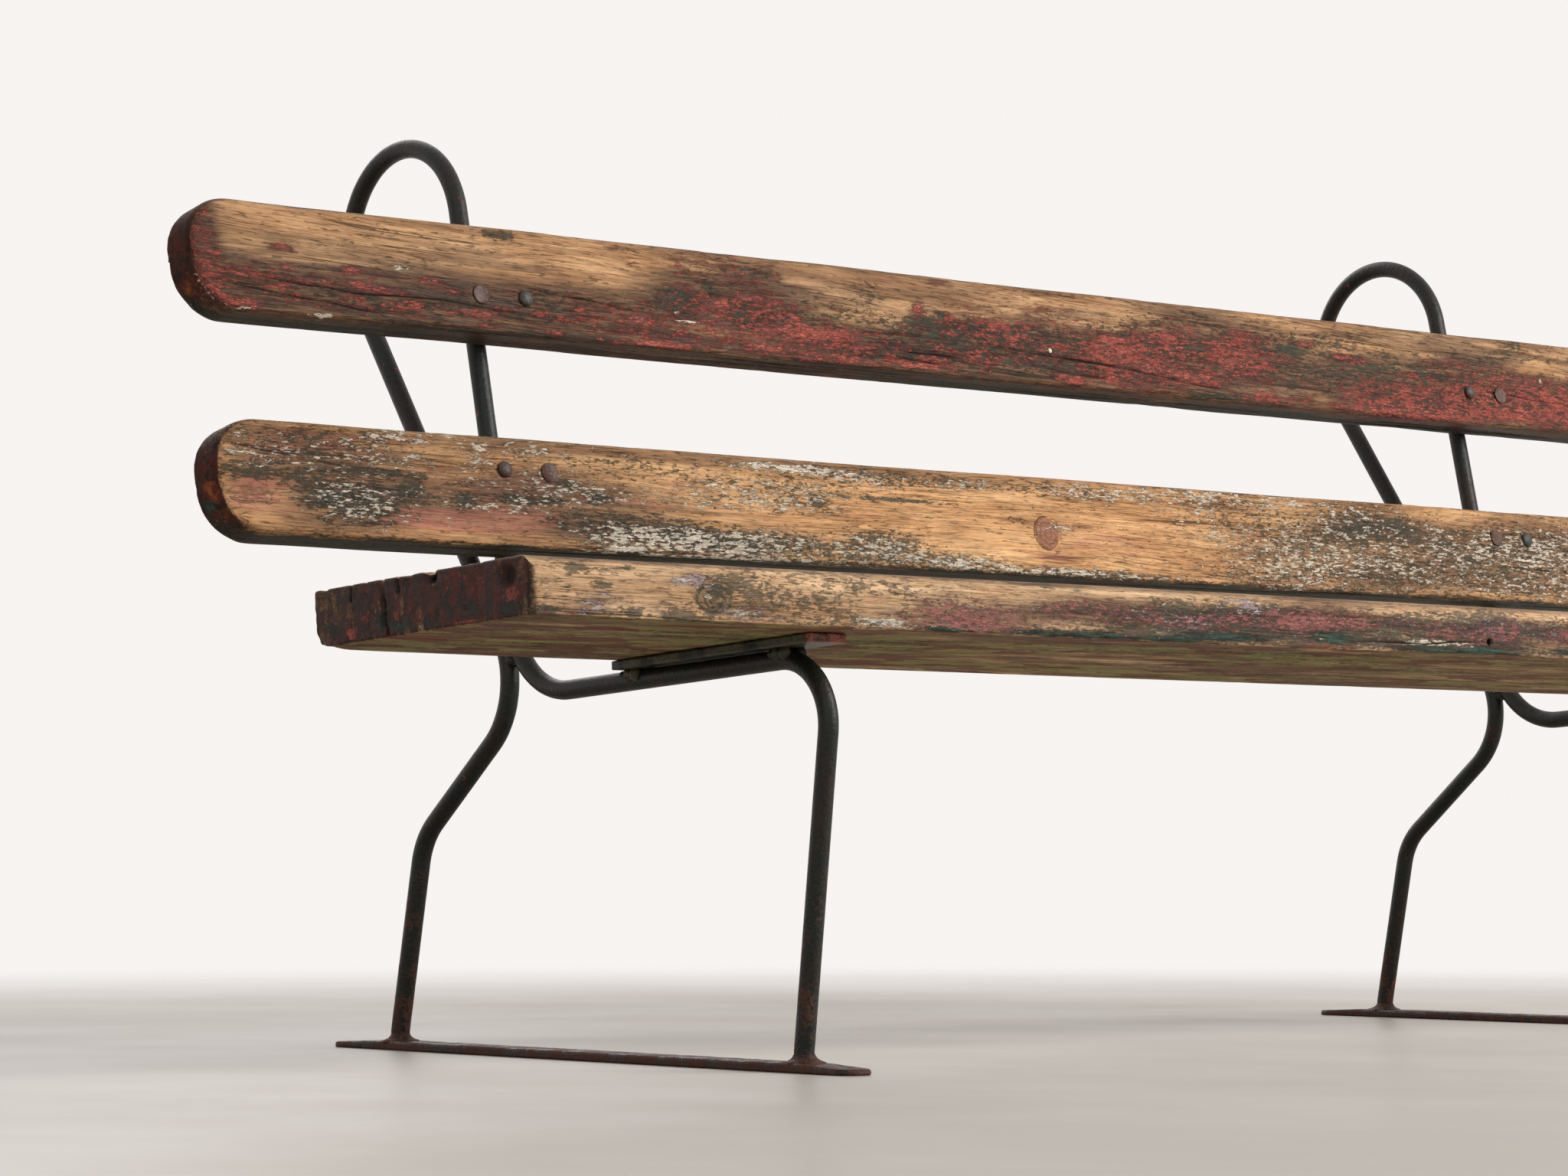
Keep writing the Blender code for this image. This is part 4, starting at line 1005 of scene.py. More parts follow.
def clip_shape():
    """Hat-shaped strip bent over the bar, with softened edges."""
    inside = BAR_RADIUS + HAIRLINE
    outside = inside + CLIP_THICKNESS
    reach = BOLT_SIDE + CLIP_TAB
    front = -BAR_RADIUS
    back = front + CLIP_THICKNESS
    bends = [math.pi * step / 24 for step in range(25)]
    outline = [(reach, front), (reach, back), (outside + 0.002, back)]
    outline += [(outside * math.cos(angle), max(outside * math.sin(angle), back)) for angle in bends]
    outline += [(-outside - 0.002, back), (-reach, back), (-reach, front), (-inside, front)]
    outline += [(inside * math.cos(angle), inside * math.sin(angle)) for angle in reversed(bends)]
    outline.append((inside, front))
    shape = bmesh.new()
    base = shape.faces.new([shape.verts.new((x, y, -CLIP_WIDTH / 2)) for x, y in outline])
    raised = bmesh.ops.extrude_face_region(shape, geom=[base])["geom"]
    points = [item for item in raised if isinstance(item, bmesh.types.BMVert)]
    bmesh.ops.translate(shape, verts=points, vec=(0, 0, CLIP_WIDTH))
    bmesh.ops.recalc_face_normals(shape, faces=shape.faces)
    rims = [edge for edge in shape.edges if edge.calc_face_angle(0) > math.radians(50)]
    bmesh.ops.bevel(shape, geom=rims, offset=0.0005, segments=2, profile=0.5, affect="EDGES", clamp_overlap=True)
    return closed_mesh(shape, "saddle_clip", math.radians(40))


# Geometry Nodes

def new_tree(name, inputs):
    """A geometry tree with one geometry in and out, and its named inputs."""
    tree = bpy.data.node_groups.new(name, "GeometryNodeTree")
    tree.interface.new_socket("Geometry", in_out="INPUT", socket_type="NodeSocketGeometry")
    for label, kind in inputs:
        tree.interface.new_socket(label, in_out="INPUT", socket_type=kind)
    tree.interface.new_socket("Geometry", in_out="OUTPUT", socket_type="NodeSocketGeometry")
    return tree, tree.nodes.new("NodeGroupInput").outputs, tree.nodes.new("NodeGroupOutput").inputs


def end_tree(tree, geometry, material, result):
    """Realizes the instances and sets the material, as every tree here ends."""
    whole = put(tree, "GeometryNodeRealizeInstances", {"Geometry": geometry}).outputs[0]
    dressed = put(tree, "GeometryNodeSetMaterial", {"Geometry": whole, "Material": material}).outputs[0]
    tree.links.new(dressed, result["Geometry"])


def bent_bar_tree():
    """Sweeps a round bar along a route and pits its surface."""
    found = bpy.data.node_groups.get("Bent bar")
    if found:
        return found
    tree, given, result = new_tree("Bent bar", (
        ("Diameter", "NodeSocketFloat"), ("Step", "NodeSocketFloat"), ("Pitting", "NodeSocketFloat"),
        ("Seed", "NodeSocketFloat"), ("Material", "NodeSocketMaterial")))
    line = put(tree, "GeometryNodeMeshToCurve", {"Mesh": given["Geometry"]}).outputs[0]
    line = put(tree, "GeometryNodeResampleCurve", {"Curve": line, "Length": given["Step"]}, mode="LENGTH").outputs[0]
    radius = reckon(tree, "MULTIPLY", given["Diameter"], 0.5)
    ring = put(tree, "GeometryNodeCurvePrimitiveCircle", {"Resolution": 28, "Radius": radius}).outputs[0]
    tube = put(tree, "GeometryNodeCurveToMesh", {"Curve": line, "Profile Curve": ring, "Fill Caps": True}).outputs[0]
    place = put(tree, "GeometryNodeInputPosition").outputs[0]
    moved = put(tree, "ShaderNodeVectorMath", {0: place, 1: given["Seed"]}, operation="ADD").outputs[0]
    dents = put(tree, "ShaderNodeTexNoise", {"Vector": moved, "Scale": 75.0, "Detail": 3.0}).outputs[0]
    pits = put(tree, "ShaderNodeTexNoise", {"Vector": moved, "Scale": 240.0, "Detail": 2.0}).outputs[0]
    both = reckon(tree, "ADD", reckon(tree, "MULTIPLY", dents, 0.6), reckon(tree, "MULTIPLY", pits, 0.4))
    depth = reckon(tree, "MULTIPLY", reckon(tree, "SUBTRACT", both, 0.75), given["Pitting"])
    normal = put(tree, "GeometryNodeInputNormal").outputs[0]
    shift = put(tree, "ShaderNodeVectorMath", {0: normal, "Scale": depth}, operation="SCALE").outputs[0]
    rough = put(tree, "GeometryNodeSetPosition", {"Geometry": tube, "Offset": shift}).outputs[0]
    smooth = put(tree, "GeometryNodeSetShadeSmooth", {0: rough}).outputs[0]
    end_tree(tree, smooth, given["Material"], result)
    return tree


def weld_bead_tree():
    """Lays overlapping beads of weld along a line."""
    found = bpy.data.node_groups.get("Weld bead")
    if found:
        return found
    tree, given, result = new_tree("Weld bead", (
        ("Radius", "NodeSocketFloat"), ("Step", "NodeSocketFloat"), ("Seed", "NodeSocketInt"),
        ("Material", "NodeSocketMaterial")))
    line = put(tree, "GeometryNodeMeshToCurve", {"Mesh": given["Geometry"]}).outputs[0]
    line = put(tree, "GeometryNodeResampleCurve", {"Curve": line, "Length": given["Step"]}, mode="LENGTH").outputs[0]
    ball = put(tree, "GeometryNodeMeshIcoSphere", {"Radius": given["Radius"], "Subdivisions": 3}).outputs[0]
    size = put(tree, "FunctionNodeRandomValue", {"Min": (0.75, 0.75, 0.75), "Max": (1.15, 1.15, 1.15), "Seed": given["Seed"]},
               data_type="FLOAT_VECTOR").outputs[0]
    beads = put(tree, "GeometryNodeInstanceOnPoints", {"Points": line, "Instance": ball, "Scale": size}).outputs[0]
    whole = put(tree, "GeometryNodeRealizeInstances", {"Geometry": beads}).outputs[0]
    lumps = put(tree, "ShaderNodeTexNoise", {"Scale": 210.0, "Detail": 2.0}).outputs[0]
    depth = reckon(tree, "MULTIPLY", reckon(tree, "SUBTRACT", lumps, 0.5), 0.0016)
    normal = put(tree, "GeometryNodeInputNormal").outputs[0]
    shift = put(tree, "ShaderNodeVectorMath", {0: normal, "Scale": depth}, operation="SCALE").outputs[0]
    rough = put(tree, "GeometryNodeSetPosition", {"Geometry": whole, "Offset": shift}).outputs[0]
    smooth = put(tree, "GeometryNodeSetShadeSmooth", {0: rough}).outputs[0]
    end_tree(tree, smooth, given["Material"], result)
    return tree


def fixings_tree():
    """Sets one fixing at each point, turned a little at random about its own axis."""
    found = bpy.data.node_groups.get("Fixings on points")
    if found:
        return found
    tree, given, result = new_tree("Fixings on points", (
        ("Shape", "NodeSocketObject"), ("Facing", "NodeSocketVector"), ("Spin", "NodeSocketFloat"),
        ("Seed", "NodeSocketInt"), ("Material", "NodeSocketMaterial")))
    shape = put(tree, "GeometryNodeObjectInfo", {"Object": given["Shape"]}).outputs["Geometry"]
    points = put(tree, "GeometryNodeMeshToPoints", {"Mesh": given["Geometry"]}).outputs[0]
    spread = put(tree, "FunctionNodeRandomValue", {2: 0.0, 3: given["Spin"], "Seed": given["Seed"]},
                 data_type="FLOAT").outputs[1]
    spin = put(tree, "ShaderNodeCombineXYZ", {"Z": spread}).outputs[0]
    facing = put(tree, "FunctionNodeEulerToRotation", {0: given["Facing"]}).outputs[0]
    turn = put(tree, "FunctionNodeEulerToRotation", {0: spin}).outputs[0]
    both = put(tree, "FunctionNodeRotateRotation", {0: facing, 1: turn}, rotation_space="LOCAL").outputs[0]
    fixings = put(tree, "GeometryNodeInstanceOnPoints", {"Points": points, "Instance": shape, "Rotation": both}).outputs[0]
    end_tree(tree, fixings, given["Material"], result)
    return tree


def grown(name, base, tree, values):
    """A piece made by a tree from a base mesh, turned into a plain mesh."""
    piece = bpy.data.objects.new(name, base)
    bpy.context.scene.collection.objects.link(piece)
    step = piece.modifiers.new(tree.name, "NODES")
    step.node_group = tree
    names = {item.name: item.identifier for item in tree.interface.items_tree if item.in_out == "INPUT"}
    for label, value in values.items():
        step[names[label]] = value
    depsgraph = bpy.context.evaluated_depsgraph_get()
    mesh = bpy.data.meshes.new_from_object(piece.evaluated_get(depsgraph))
    piece.modifiers.clear()
    piece.data = mesh
    mesh.name = name
    return piece


def line_mesh(points):
    """A mesh of points joined by edges, as a route."""
    mesh = bpy.data.meshes.new("route")
    mesh.from_pydata([tuple(point) for point in points], [(n, n + 1) for n in range(len(points) - 1)], [])
    return mesh


def point_mesh(points):
    mesh = bpy.data.meshes.new("points")
    mesh.from_pydata([tuple(point) for point in points], [], [])
    return mesh


def scratch_object(mesh):
    item = bpy.data.objects.new(mesh.name, mesh)
    bpy.context.scene.collection.objects.link(item)
    return item


# Node helpers

def put(tree, kind, inputs=(), **settings):
    """Adds a node, sets it up, and feeds its inputs with values or other nodes' outputs."""
    node = tree.nodes.new(kind)
    for key, value in settings.items():
        setattr(node, key, value)
    for key, value in dict(inputs).items():
        if isinstance(value, bpy.types.NodeSocket):
            tree.links.new(value, node.inputs[key])
        else:
            node.inputs[key].default_value = value
    return node


def reckon(tree, operation, *values, clamp=False):
    """Result of a Math node."""
    return put(tree, "ShaderNodeMath", enumerate(values), operation=operation, use_clamp=clamp).outputs[0]


def blended(tree, amount, under, over, blend_type="MIX"):
    """Colour over another by an amount."""
    node = put(tree, "ShaderNodeMix", {0: amount, 6: under, 7: over}, data_type="RGBA", blend_type=blend_type)
    return node.outputs[2]


def speckle(tree, place, scale, detail=3.0, roughness=0.6):
    """Noise with its own scale along each axis."""
    spot = put(tree, "ShaderNodeVectorMath", {0: place, 1: scale}, operation="MULTIPLY").outputs[0]
    return put(tree, "ShaderNodeTexNoise", {"Vector": spot, "Scale": 1.0, "Detail": detail,
                                            "Roughness": roughness}).outputs[0]


def ramp(tree, value, low, high, start=0.0, end=1.0):
    """Smooth rise from start to end as the value goes from low to high."""
    return put(tree, "ShaderNodeMapRange", {"Value": value, "From Min": low, "From Max": high, "To Min": start,
                                            "To Max": end}, interpolation_type="SMOOTHSTEP").outputs[0]


def new_effect(name, inputs, outputs):
    """A shader node group with its named sockets."""
    tree = bpy.data.node_groups.new(name, "ShaderNodeTree")
    for label, kind in inputs:
        tree.interface.new_socket(label, in_out="INPUT", socket_type="NodeSocket" + kind)
    for label, kind in outputs:
        tree.interface.new_socket(label, in_out="OUTPUT", socket_type="NodeSocket" + kind)
    return tree, tree.nodes.new("NodeGroupInput").outputs, tree.nodes.new("NodeGroupOutput").inputs


def board_grain():
    """Shader group: wood with lengthwise fibres, growth lines and grey weathering."""
    found = bpy.data.node_groups.get("Board grain")
    if found:
        return found
    tree, given, result = new_effect(
        "Board grain",
        (("Place", "Vector"), ("Pale", "Color"), ("Tan", "Color"), ("Grey", "Color"), ("Greyness", "Float"),
         ("Slope", "Float")),
        (("Colour", "Color"), ("Height", "Float"), ("Fibre", "Float")))
    place = given["Place"]
    split = put(tree, "ShaderNodeSeparateXYZ", {0: place}).outputs
    drift = reckon(tree, "SUBTRACT", speckle(tree, place, (2.2, 9, 9), 2.0), 0.5)
    lift = reckon(tree, "MULTIPLY_ADD", drift, 0.026, reckon(tree, "MULTIPLY", split["X"], given["Slope"]))
    bent = put(tree, "ShaderNodeCombineXYZ", {
        "X": split["X"], "Y": reckon(tree, "MULTIPLY_ADD", drift, 0.018, split["Y"]),
        "Z": reckon(tree, "ADD", split["Z"], lift)}).outputs[0]
    broad = speckle(tree, bent, (3.0, 150, 150), 4.0, 0.62)
    fine = speckle(tree, bent, (15, 540, 540), 4.0, 0.74)
    streak = reckon(tree, "MULTIPLY_ADD", fine, 0.5, reckon(tree, "MULTIPLY", broad, 0.5))
    tone = speckle(tree, bent, (6, 34, 34), 5.0, 0.62)
    hair = reckon(tree, "ABSOLUTE", reckon(tree, "SUBTRACT", speckle(tree, bent, (1.1, 80, 80), 2.0, 0.5), 0.5))
    slits = reckon(tree, "MULTIPLY", ramp(tree, hair, 0.003, 0.014, 1.0, 0.0),
                   ramp(tree, speckle(tree, place, (5, 30, 30), 2.0), 0.50, 0.58))
    years = reckon(tree, "SINE", reckon(tree, "MULTIPLY", speckle(tree, bent, (0.9, 48, 48), 2.0, 0.5), 110.0))
    lines = reckon(tree, "MULTIPLY", ramp(tree, years, 0.45, 0.98), ramp(tree, tone, 0.36, 0.60))
    pores = ramp(tree, speckle(tree, bent, (38, 900, 900), 2.0, 0.5), 0.56, 0.68)
    stain = ramp(tree, speckle(tree, bent, (11, 70, 70), 5.0, 0.68), 0.50, 0.74)
    dashes = ramp(tree, speckle(tree, bent, (60, 400, 400), 2.0, 0.55), 0.60, 0.68)
    mottle = ramp(tree, speckle(tree, bent, (34, 170, 170), 5.0, 0.72), 0.50, 0.64)
    colour = blended(tree, ramp(tree, tone, 0.32, 0.72), given["Pale"], given["Tan"])
    colour = blended(tree, reckon(tree, "MULTIPLY", ramp(tree, broad, 0.42, 0.66), 0.45), colour, given["Tan"])
    aged = blended(tree, reckon(tree, "MULTIPLY", ramp(tree, streak, 0.42, 0.60), 0.40), given["Grey"], given["Tan"])
    weathered = reckon(tree, "MULTIPLY_ADD", reckon(tree, "SUBTRACT", streak, 0.5), 2.4,
                       reckon(tree, "MULTIPLY", given["Greyness"], 1.25))
    grey_amount = reckon(tree, "MULTIPLY", ramp(tree, weathered, 0.15, 0.85), ramp(tree, given["Greyness"], 0.0, 0.25))
    colour = blended(tree, grey_amount, colour, aged)
    shade = ramp(tree, fine, 0.30, 0.70, 0.64, 1.20)
    for mark, strength in ((lines, -0.26), (pores, -0.50), (stain, -0.34), (mottle, -0.18), (dashes, -0.60), (slits, -0.75)):
        shade = reckon(tree, "MULTIPLY", shade, reckon(tree, "MULTIPLY_ADD", mark, strength, 1.0))
    tree.links.new(blended(tree, 1.0, colour, shade, "MULTIPLY"), result["Colour"])
    height = reckon(tree, "MULTIPLY_ADD", lines, -0.35, reckon(tree, "ADD", fine, reckon(tree, "MULTIPLY", broad, 0.6)))
    height = reckon(tree, "MULTIPLY_ADD", slits, -0.8, height)
    tree.links.new(reckon(tree, "MULTIPLY_ADD", pores, -0.5, height), result["Height"])
    tree.links.new(fine, result["Fibre"])
    return tree


def flaked_paint():
    """Shader group: mask of old paint that has flaked off along the grain."""
    found = bpy.data.node_groups.get("Flaked paint")
    if found:
        return found
    tree, given, result = new_effect(
        "Flaked paint",
        (("Place", "Vector"), ("Cover", "Float"), ("Flake", "Vector"), ("Softness", "Float"), ("Crackle", "Float"),
         ("Seed", "Float")),
        (("Mask", "Float"), ("Rim", "Float"), ("Shade", "Float")))
    spot = put(tree, "ShaderNodeVectorMath", {0: given["Place"], 1: given["Flake"]}, operation="MULTIPLY").outputs[0]
    spot = put(tree, "ShaderNodeVectorMath", {0: spot, 1: given["Seed"]}, operation="ADD").outputs[0]
    wobble = put(tree, "ShaderNodeTexNoise", {"Vector": spot, "Scale": 1.6, "Detail": 2.0}).outputs[1]
    warped = put(tree, "ShaderNodeVectorMath", {0: wobble, 1: (0.9, 0.9, 0.9), 2: spot}, operation="MULTIPLY_ADD").outputs[0]
    clump = put(tree, "ShaderNodeTexNoise", {"Vector": spot, "Scale": 0.30, "Detail": 2.0}).outputs[0]
    ragged = put(tree, "ShaderNodeTexNoise", {"Vector": spot, "Scale": 1.5, "Detail": 6.0, "Roughness": 0.72}).outputs[0]
    flake = put(tree, "ShaderNodeTexVoronoi", {"Vector": warped, "Scale": 1.0}, feature="F1").outputs["Color"]
    flake = put(tree, "ShaderNodeSeparateColor", {0: flake}).outputs[0]
    gaps = put(tree, "ShaderNodeTexVoronoi", {"Vector": warped, "Scale": 1.0}, feature="DISTANCE_TO_EDGE").outputs["Distance"]
    level = reckon(tree, "MULTIPLY_ADD", ragged, 0.52, reckon(tree, "MULTIPLY", clump, 0.24))
    level = reckon(tree, "MULTIPLY_ADD", flake, 0.24, level)
    edge = reckon(tree, "MULTIPLY_ADD", given["Cover"], -0.46, 0.73)
    mask = ramp(tree, level, reckon(tree, "SUBTRACT", edge, given["Softness"]),
                reckon(tree, "ADD", edge, given["Softness"]))
    kept = blended(tree, given["Crackle"], (1, 1, 1, 1), ramp(tree, gaps, 0.02, 0.14))
    mask = reckon(tree, "MULTIPLY", reckon(tree, "MULTIPLY", mask, kept), ramp(tree, given["Cover"], 0.01, 0.10))
    # Rim: a band just outside each flake, darkened as dirt and as painted shade under the flake's edge
    rim_dirt_and_shade = ramp(tree, level, reckon(tree, "SUBTRACT", edge, 0.10), edge)
    rim_dirt_and_shade = reckon(tree, "MULTIPLY", rim_dirt_and_shade, ramp(tree, given["Cover"], 0.05, 0.30))
    tree.links.new(mask, result["Mask"])
    tree.links.new(reckon(tree, "SUBTRACT", rim_dirt_and_shade, mask, clamp=True), result["Rim"])
    tree.links.new(reckon(tree, "MULTIPLY_ADD", flake, 0.5, reckon(tree, "MULTIPLY", clump, 0.5)), result["Shade"])
    return tree


def worn_iron():
    """Shader group: old paint on iron, worn brown and broken by rust."""
    found = bpy.data.node_groups.get("Worn iron")
    if found:
        return found
    tree, given, result = new_effect(
        "Worn iron",
        (("Place", "Vector"), ("Paint", "Color"), ("Brown", "Color"), ("Rust", "Color"), ("Trace", "Color"),
         ("Rustiness", "Float"), ("Traces", "Float")),
        (("Colour", "Color"), ("Roughness", "Float"), ("Height", "Float")))
    place = given["Place"]
    blotch = speckle(tree, place, (26, 26, 18), 5.0, 0.62)
    patchy = speckle(tree, place, (62, 62, 40), 4.0, 0.66)
    fine = speckle(tree, place, (330, 330, 300), 3.0, 0.7)
    flecks = speckle(tree, place, (95, 95, 60), 3.0, 0.6)
    colour = blended(tree, ramp(tree, blotch, 0.42, 0.60), given["Paint"], given["Brown"])
    level = reckon(tree, "MULTIPLY_ADD", fine, 0.35, reckon(tree, "MULTIPLY", patchy, 0.65))
    edge = reckon(tree, "MULTIPLY_ADD", given["Rustiness"], -0.46, 0.74)
    rusted = ramp(tree, level, reckon(tree, "SUBTRACT", edge, 0.05), reckon(tree, "ADD", edge, 0.05))
    colour = blended(tree, rusted, colour, given["Rust"])
    mark = reckon(tree, "MULTIPLY_ADD", given["Traces"], -0.5, 0.80)
    traced = ramp(tree, flecks, mark, reckon(tree, "ADD", mark, 0.05))
    colour = blended(tree, traced, colour, given["Trace"])
    shade = ramp(tree, fine, 0.30, 0.70, 0.66, 1.30)
    tree.links.new(blended(tree, 1.0, colour, shade, "MULTIPLY"), result["Colour"])
    gloss = reckon(tree, "MULTIPLY_ADD", fine, 0.22, reckon(tree, "MULTIPLY_ADD", rusted, 0.34, 0.28))
    tree.links.new(gloss, result["Roughness"])
    height = reckon(tree, "MULTIPLY_ADD", patchy, 0.6, reckon(tree, "MULTIPLY_ADD", rusted, 0.25, fine))
    tree.links.new(height, result["Height"])
    return tree


# Materials

def new_material(name):
    material = bpy.data.materials.new(name)
    material.use_nodes = True
    tree = material.node_tree
    return material, tree, tree.nodes["Principled BSDF"]


def opaque(colour):
    return (*colour, 1.0)


def board_place(tree, axes):
    """Object coordinates turned into a board's own frame."""
    place = put(tree, "ShaderNodeTexCoord").outputs["Object"]
    turn = put(tree, "ShaderNodeMapping", {"Vector": place}, vector_type="TEXTURE")
    turn.inputs["Location"].default_value = axes.translation
    turn.inputs["Rotation"].default_value = axes.to_euler()
    return turn.outputs[0]


def attribute(tree, name):
    return put(tree, "ShaderNodeAttribute", attribute_name=name).outputs["Fac"]


def painted_wood(name, axes, colours, bare, slope, layers, knot=None, rough_side=None):
    """Weathered wood with layers of old paint.

    A layer is (attribute, share of it, thickness, colour, second colour, flake size, softness, crackle, dirt and
    painted shade round it).
    """
    material, tree, shader = new_material(name)
    place = board_place(tree, axes)
    grain = put(tree, "ShaderNodeGroup", {
        "Place": place, "Pale": opaque(bare[0]), "Tan": opaque(bare[1]),
        "Grey": opaque(colours.grey_wood), "Greyness": attribute(tree, "greyness"), "Slope": slope},
        node_tree=board_grain()).outputs
    colour = grain["Colour"]
    height = reckon(tree, "MULTIPLY", grain["Height"], 0.5)
    painted = None
    if knot:
        depth = attribute(tree, "knot")
        wobble = reckon(tree, "MULTIPLY_ADD", speckle(tree, place, (120, 120, 120), 3.0), 0.9, depth)
        rings = ramp(tree, reckon(tree, "SINE", reckon(tree, "MULTIPLY", wobble, 17.0)), -0.6, 0.9)
        heart = blended(tree, rings, opaque(knot[0]), opaque(knot[1]))
        colour = blended(tree, reckon(tree, "MULTIPLY", ramp(tree, depth, 0.0, 0.12), 0.85), colour, heart)
    for number, (source, share, thick, first, second, flake, softness, crackle, rim_dirt_and_shade) in enumerate(layers):
        cover = reckon(tree, "MULTIPLY", attribute(tree, source), share)
        paint = put(tree, "ShaderNodeGroup", {
            "Place": place, "Cover": cover, "Flake": [1 / size for size in flake],
            "Softness": softness, "Crackle": crackle, "Seed": 3.7 + 11.3 * number}, node_tree=flaked_paint()).outputs
        tone = blended(tree, ramp(tree, paint["Shade"], 0.30, 0.70), opaque(first), opaque(second))
        tone = blended(tree, 1.0, tone, ramp(tree, grain["Fibre"], 0.30, 0.70, 0.70, 1.20), "MULTIPLY")
        # Dirt and painted shade: the rim outside each flake is darkened towards near black
        colour = blended(tree, reckon(tree, "MULTIPLY", paint["Rim"], rim_dirt_and_shade), colour, opaque(colours.flake_rim_dirt_and_shade))
        colour = blended(tree, reckon(tree, "MULTIPLY", paint["Mask"], thick), colour, tone)
        height = reckon(tree, "MULTIPLY_ADD", paint["Mask"], 0.35, height)
        painted = paint["Mask"] if painted is None else reckon(tree, "MAXIMUM", painted, paint["Mask"])
    # Painted shade: near black where the crack attribute marks cracks, splits, holes and the knot's shaded side
    crack = attribute(tree, "crack")
    colour = blended(tree, ramp(tree, crack, 0.22, 0.62), colour, (0.008, 0.005, 0.004, 1.0))
    tree.links.new(colour, shader.inputs["Base Color"])
    shader.inputs["Specular IOR Level"].default_value = 0.15
    rough = reckon(tree, "MULTIPLY_ADD", painted, -0.12, reckon(tree, "MULTIPLY_ADD", grain["Fibre"], 0.25, 0.44))
    if rough_side:
        rough = reckon(tree, "MULTIPLY_ADD", attribute(tree, rough_side), 0.4, rough)
    tree.links.new(reckon(tree, "MULTIPLY_ADD", crack, 0.2, rough, clamp=True), shader.inputs["Roughness"])
    bump = put(tree, "ShaderNodeBump", {"Height": height, "Strength": 0.75, "Distance": 0.0016})
    tree.links.new(bump.outputs[0], shader.inputs["Normal"])
    return material


def iron_finish(name, colours, paint, brown, rust, rustiness, traces, low_rust=0.0, front_end=None):
    """Worn paint and rust on iron, with more rust near the floor or red paint on a front end if wanted."""
    material, tree, shader = new_material(name)
    place = put(tree, "ShaderNodeTexCoord").outputs["Object"]
    amount = rustiness
    if low_rust:
        height = put(tree, "ShaderNodeSeparateXYZ", {0: place}).outputs["Z"]
        amount = ramp(tree, height, 0.015, 0.22, rustiness + low_rust, rustiness)
    iron = put(tree, "ShaderNodeGroup", {
        "Place": place, "Paint": opaque(paint), "Brown": opaque(brown), "Rust": opaque(rust),
        "Trace": opaque(colours.red_trace), "Rustiness": amount, "Traces": traces}, node_tree=worn_iron()).outputs
    colour = iron["Colour"]
    if front_end is not None:
        depth = put(tree, "ShaderNodeSeparateXYZ", {0: board_place(tree, SEAT_FRAME)}).outputs["Y"]
        near = ramp(tree, depth, front_end + 0.0015, front_end + 0.006, 0.95, 0.0)
        colour = blended(tree, reckon(tree, "MULTIPLY", near, ramp(tree, iron["Height"], 0.6, 1.0)), colour,
                         opaque(colours.rose))
    tree.links.new(colour, shader.inputs["Base Color"])
    tree.links.new(iron["Roughness"], shader.inputs["Roughness"])
    shader.inputs["Specular IOR Level"].default_value = 0.24
    bump = put(tree, "ShaderNodeBump", {"Height": iron["Height"], "Strength": 0.7, "Distance": 0.0009})
    tree.links.new(bump.outputs[0], shader.inputs["Normal"])
    return material


# Pieces

def show(name, mesh, material):
    """A finished piece at the origin."""
    mesh.materials.clear()
    mesh.materials.append(material)
    piece = bpy.data.objects.new(name, mesh)
    bpy.context.scene.collection.objects.link(piece)
    return piece


def attach(piece, slot, *nodes):
    """Rides on the bench and stands for its CAD nodes, which it hides; the slot is not used."""
    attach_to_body(piece, "root")
    if nodes:
        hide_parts(*nodes)


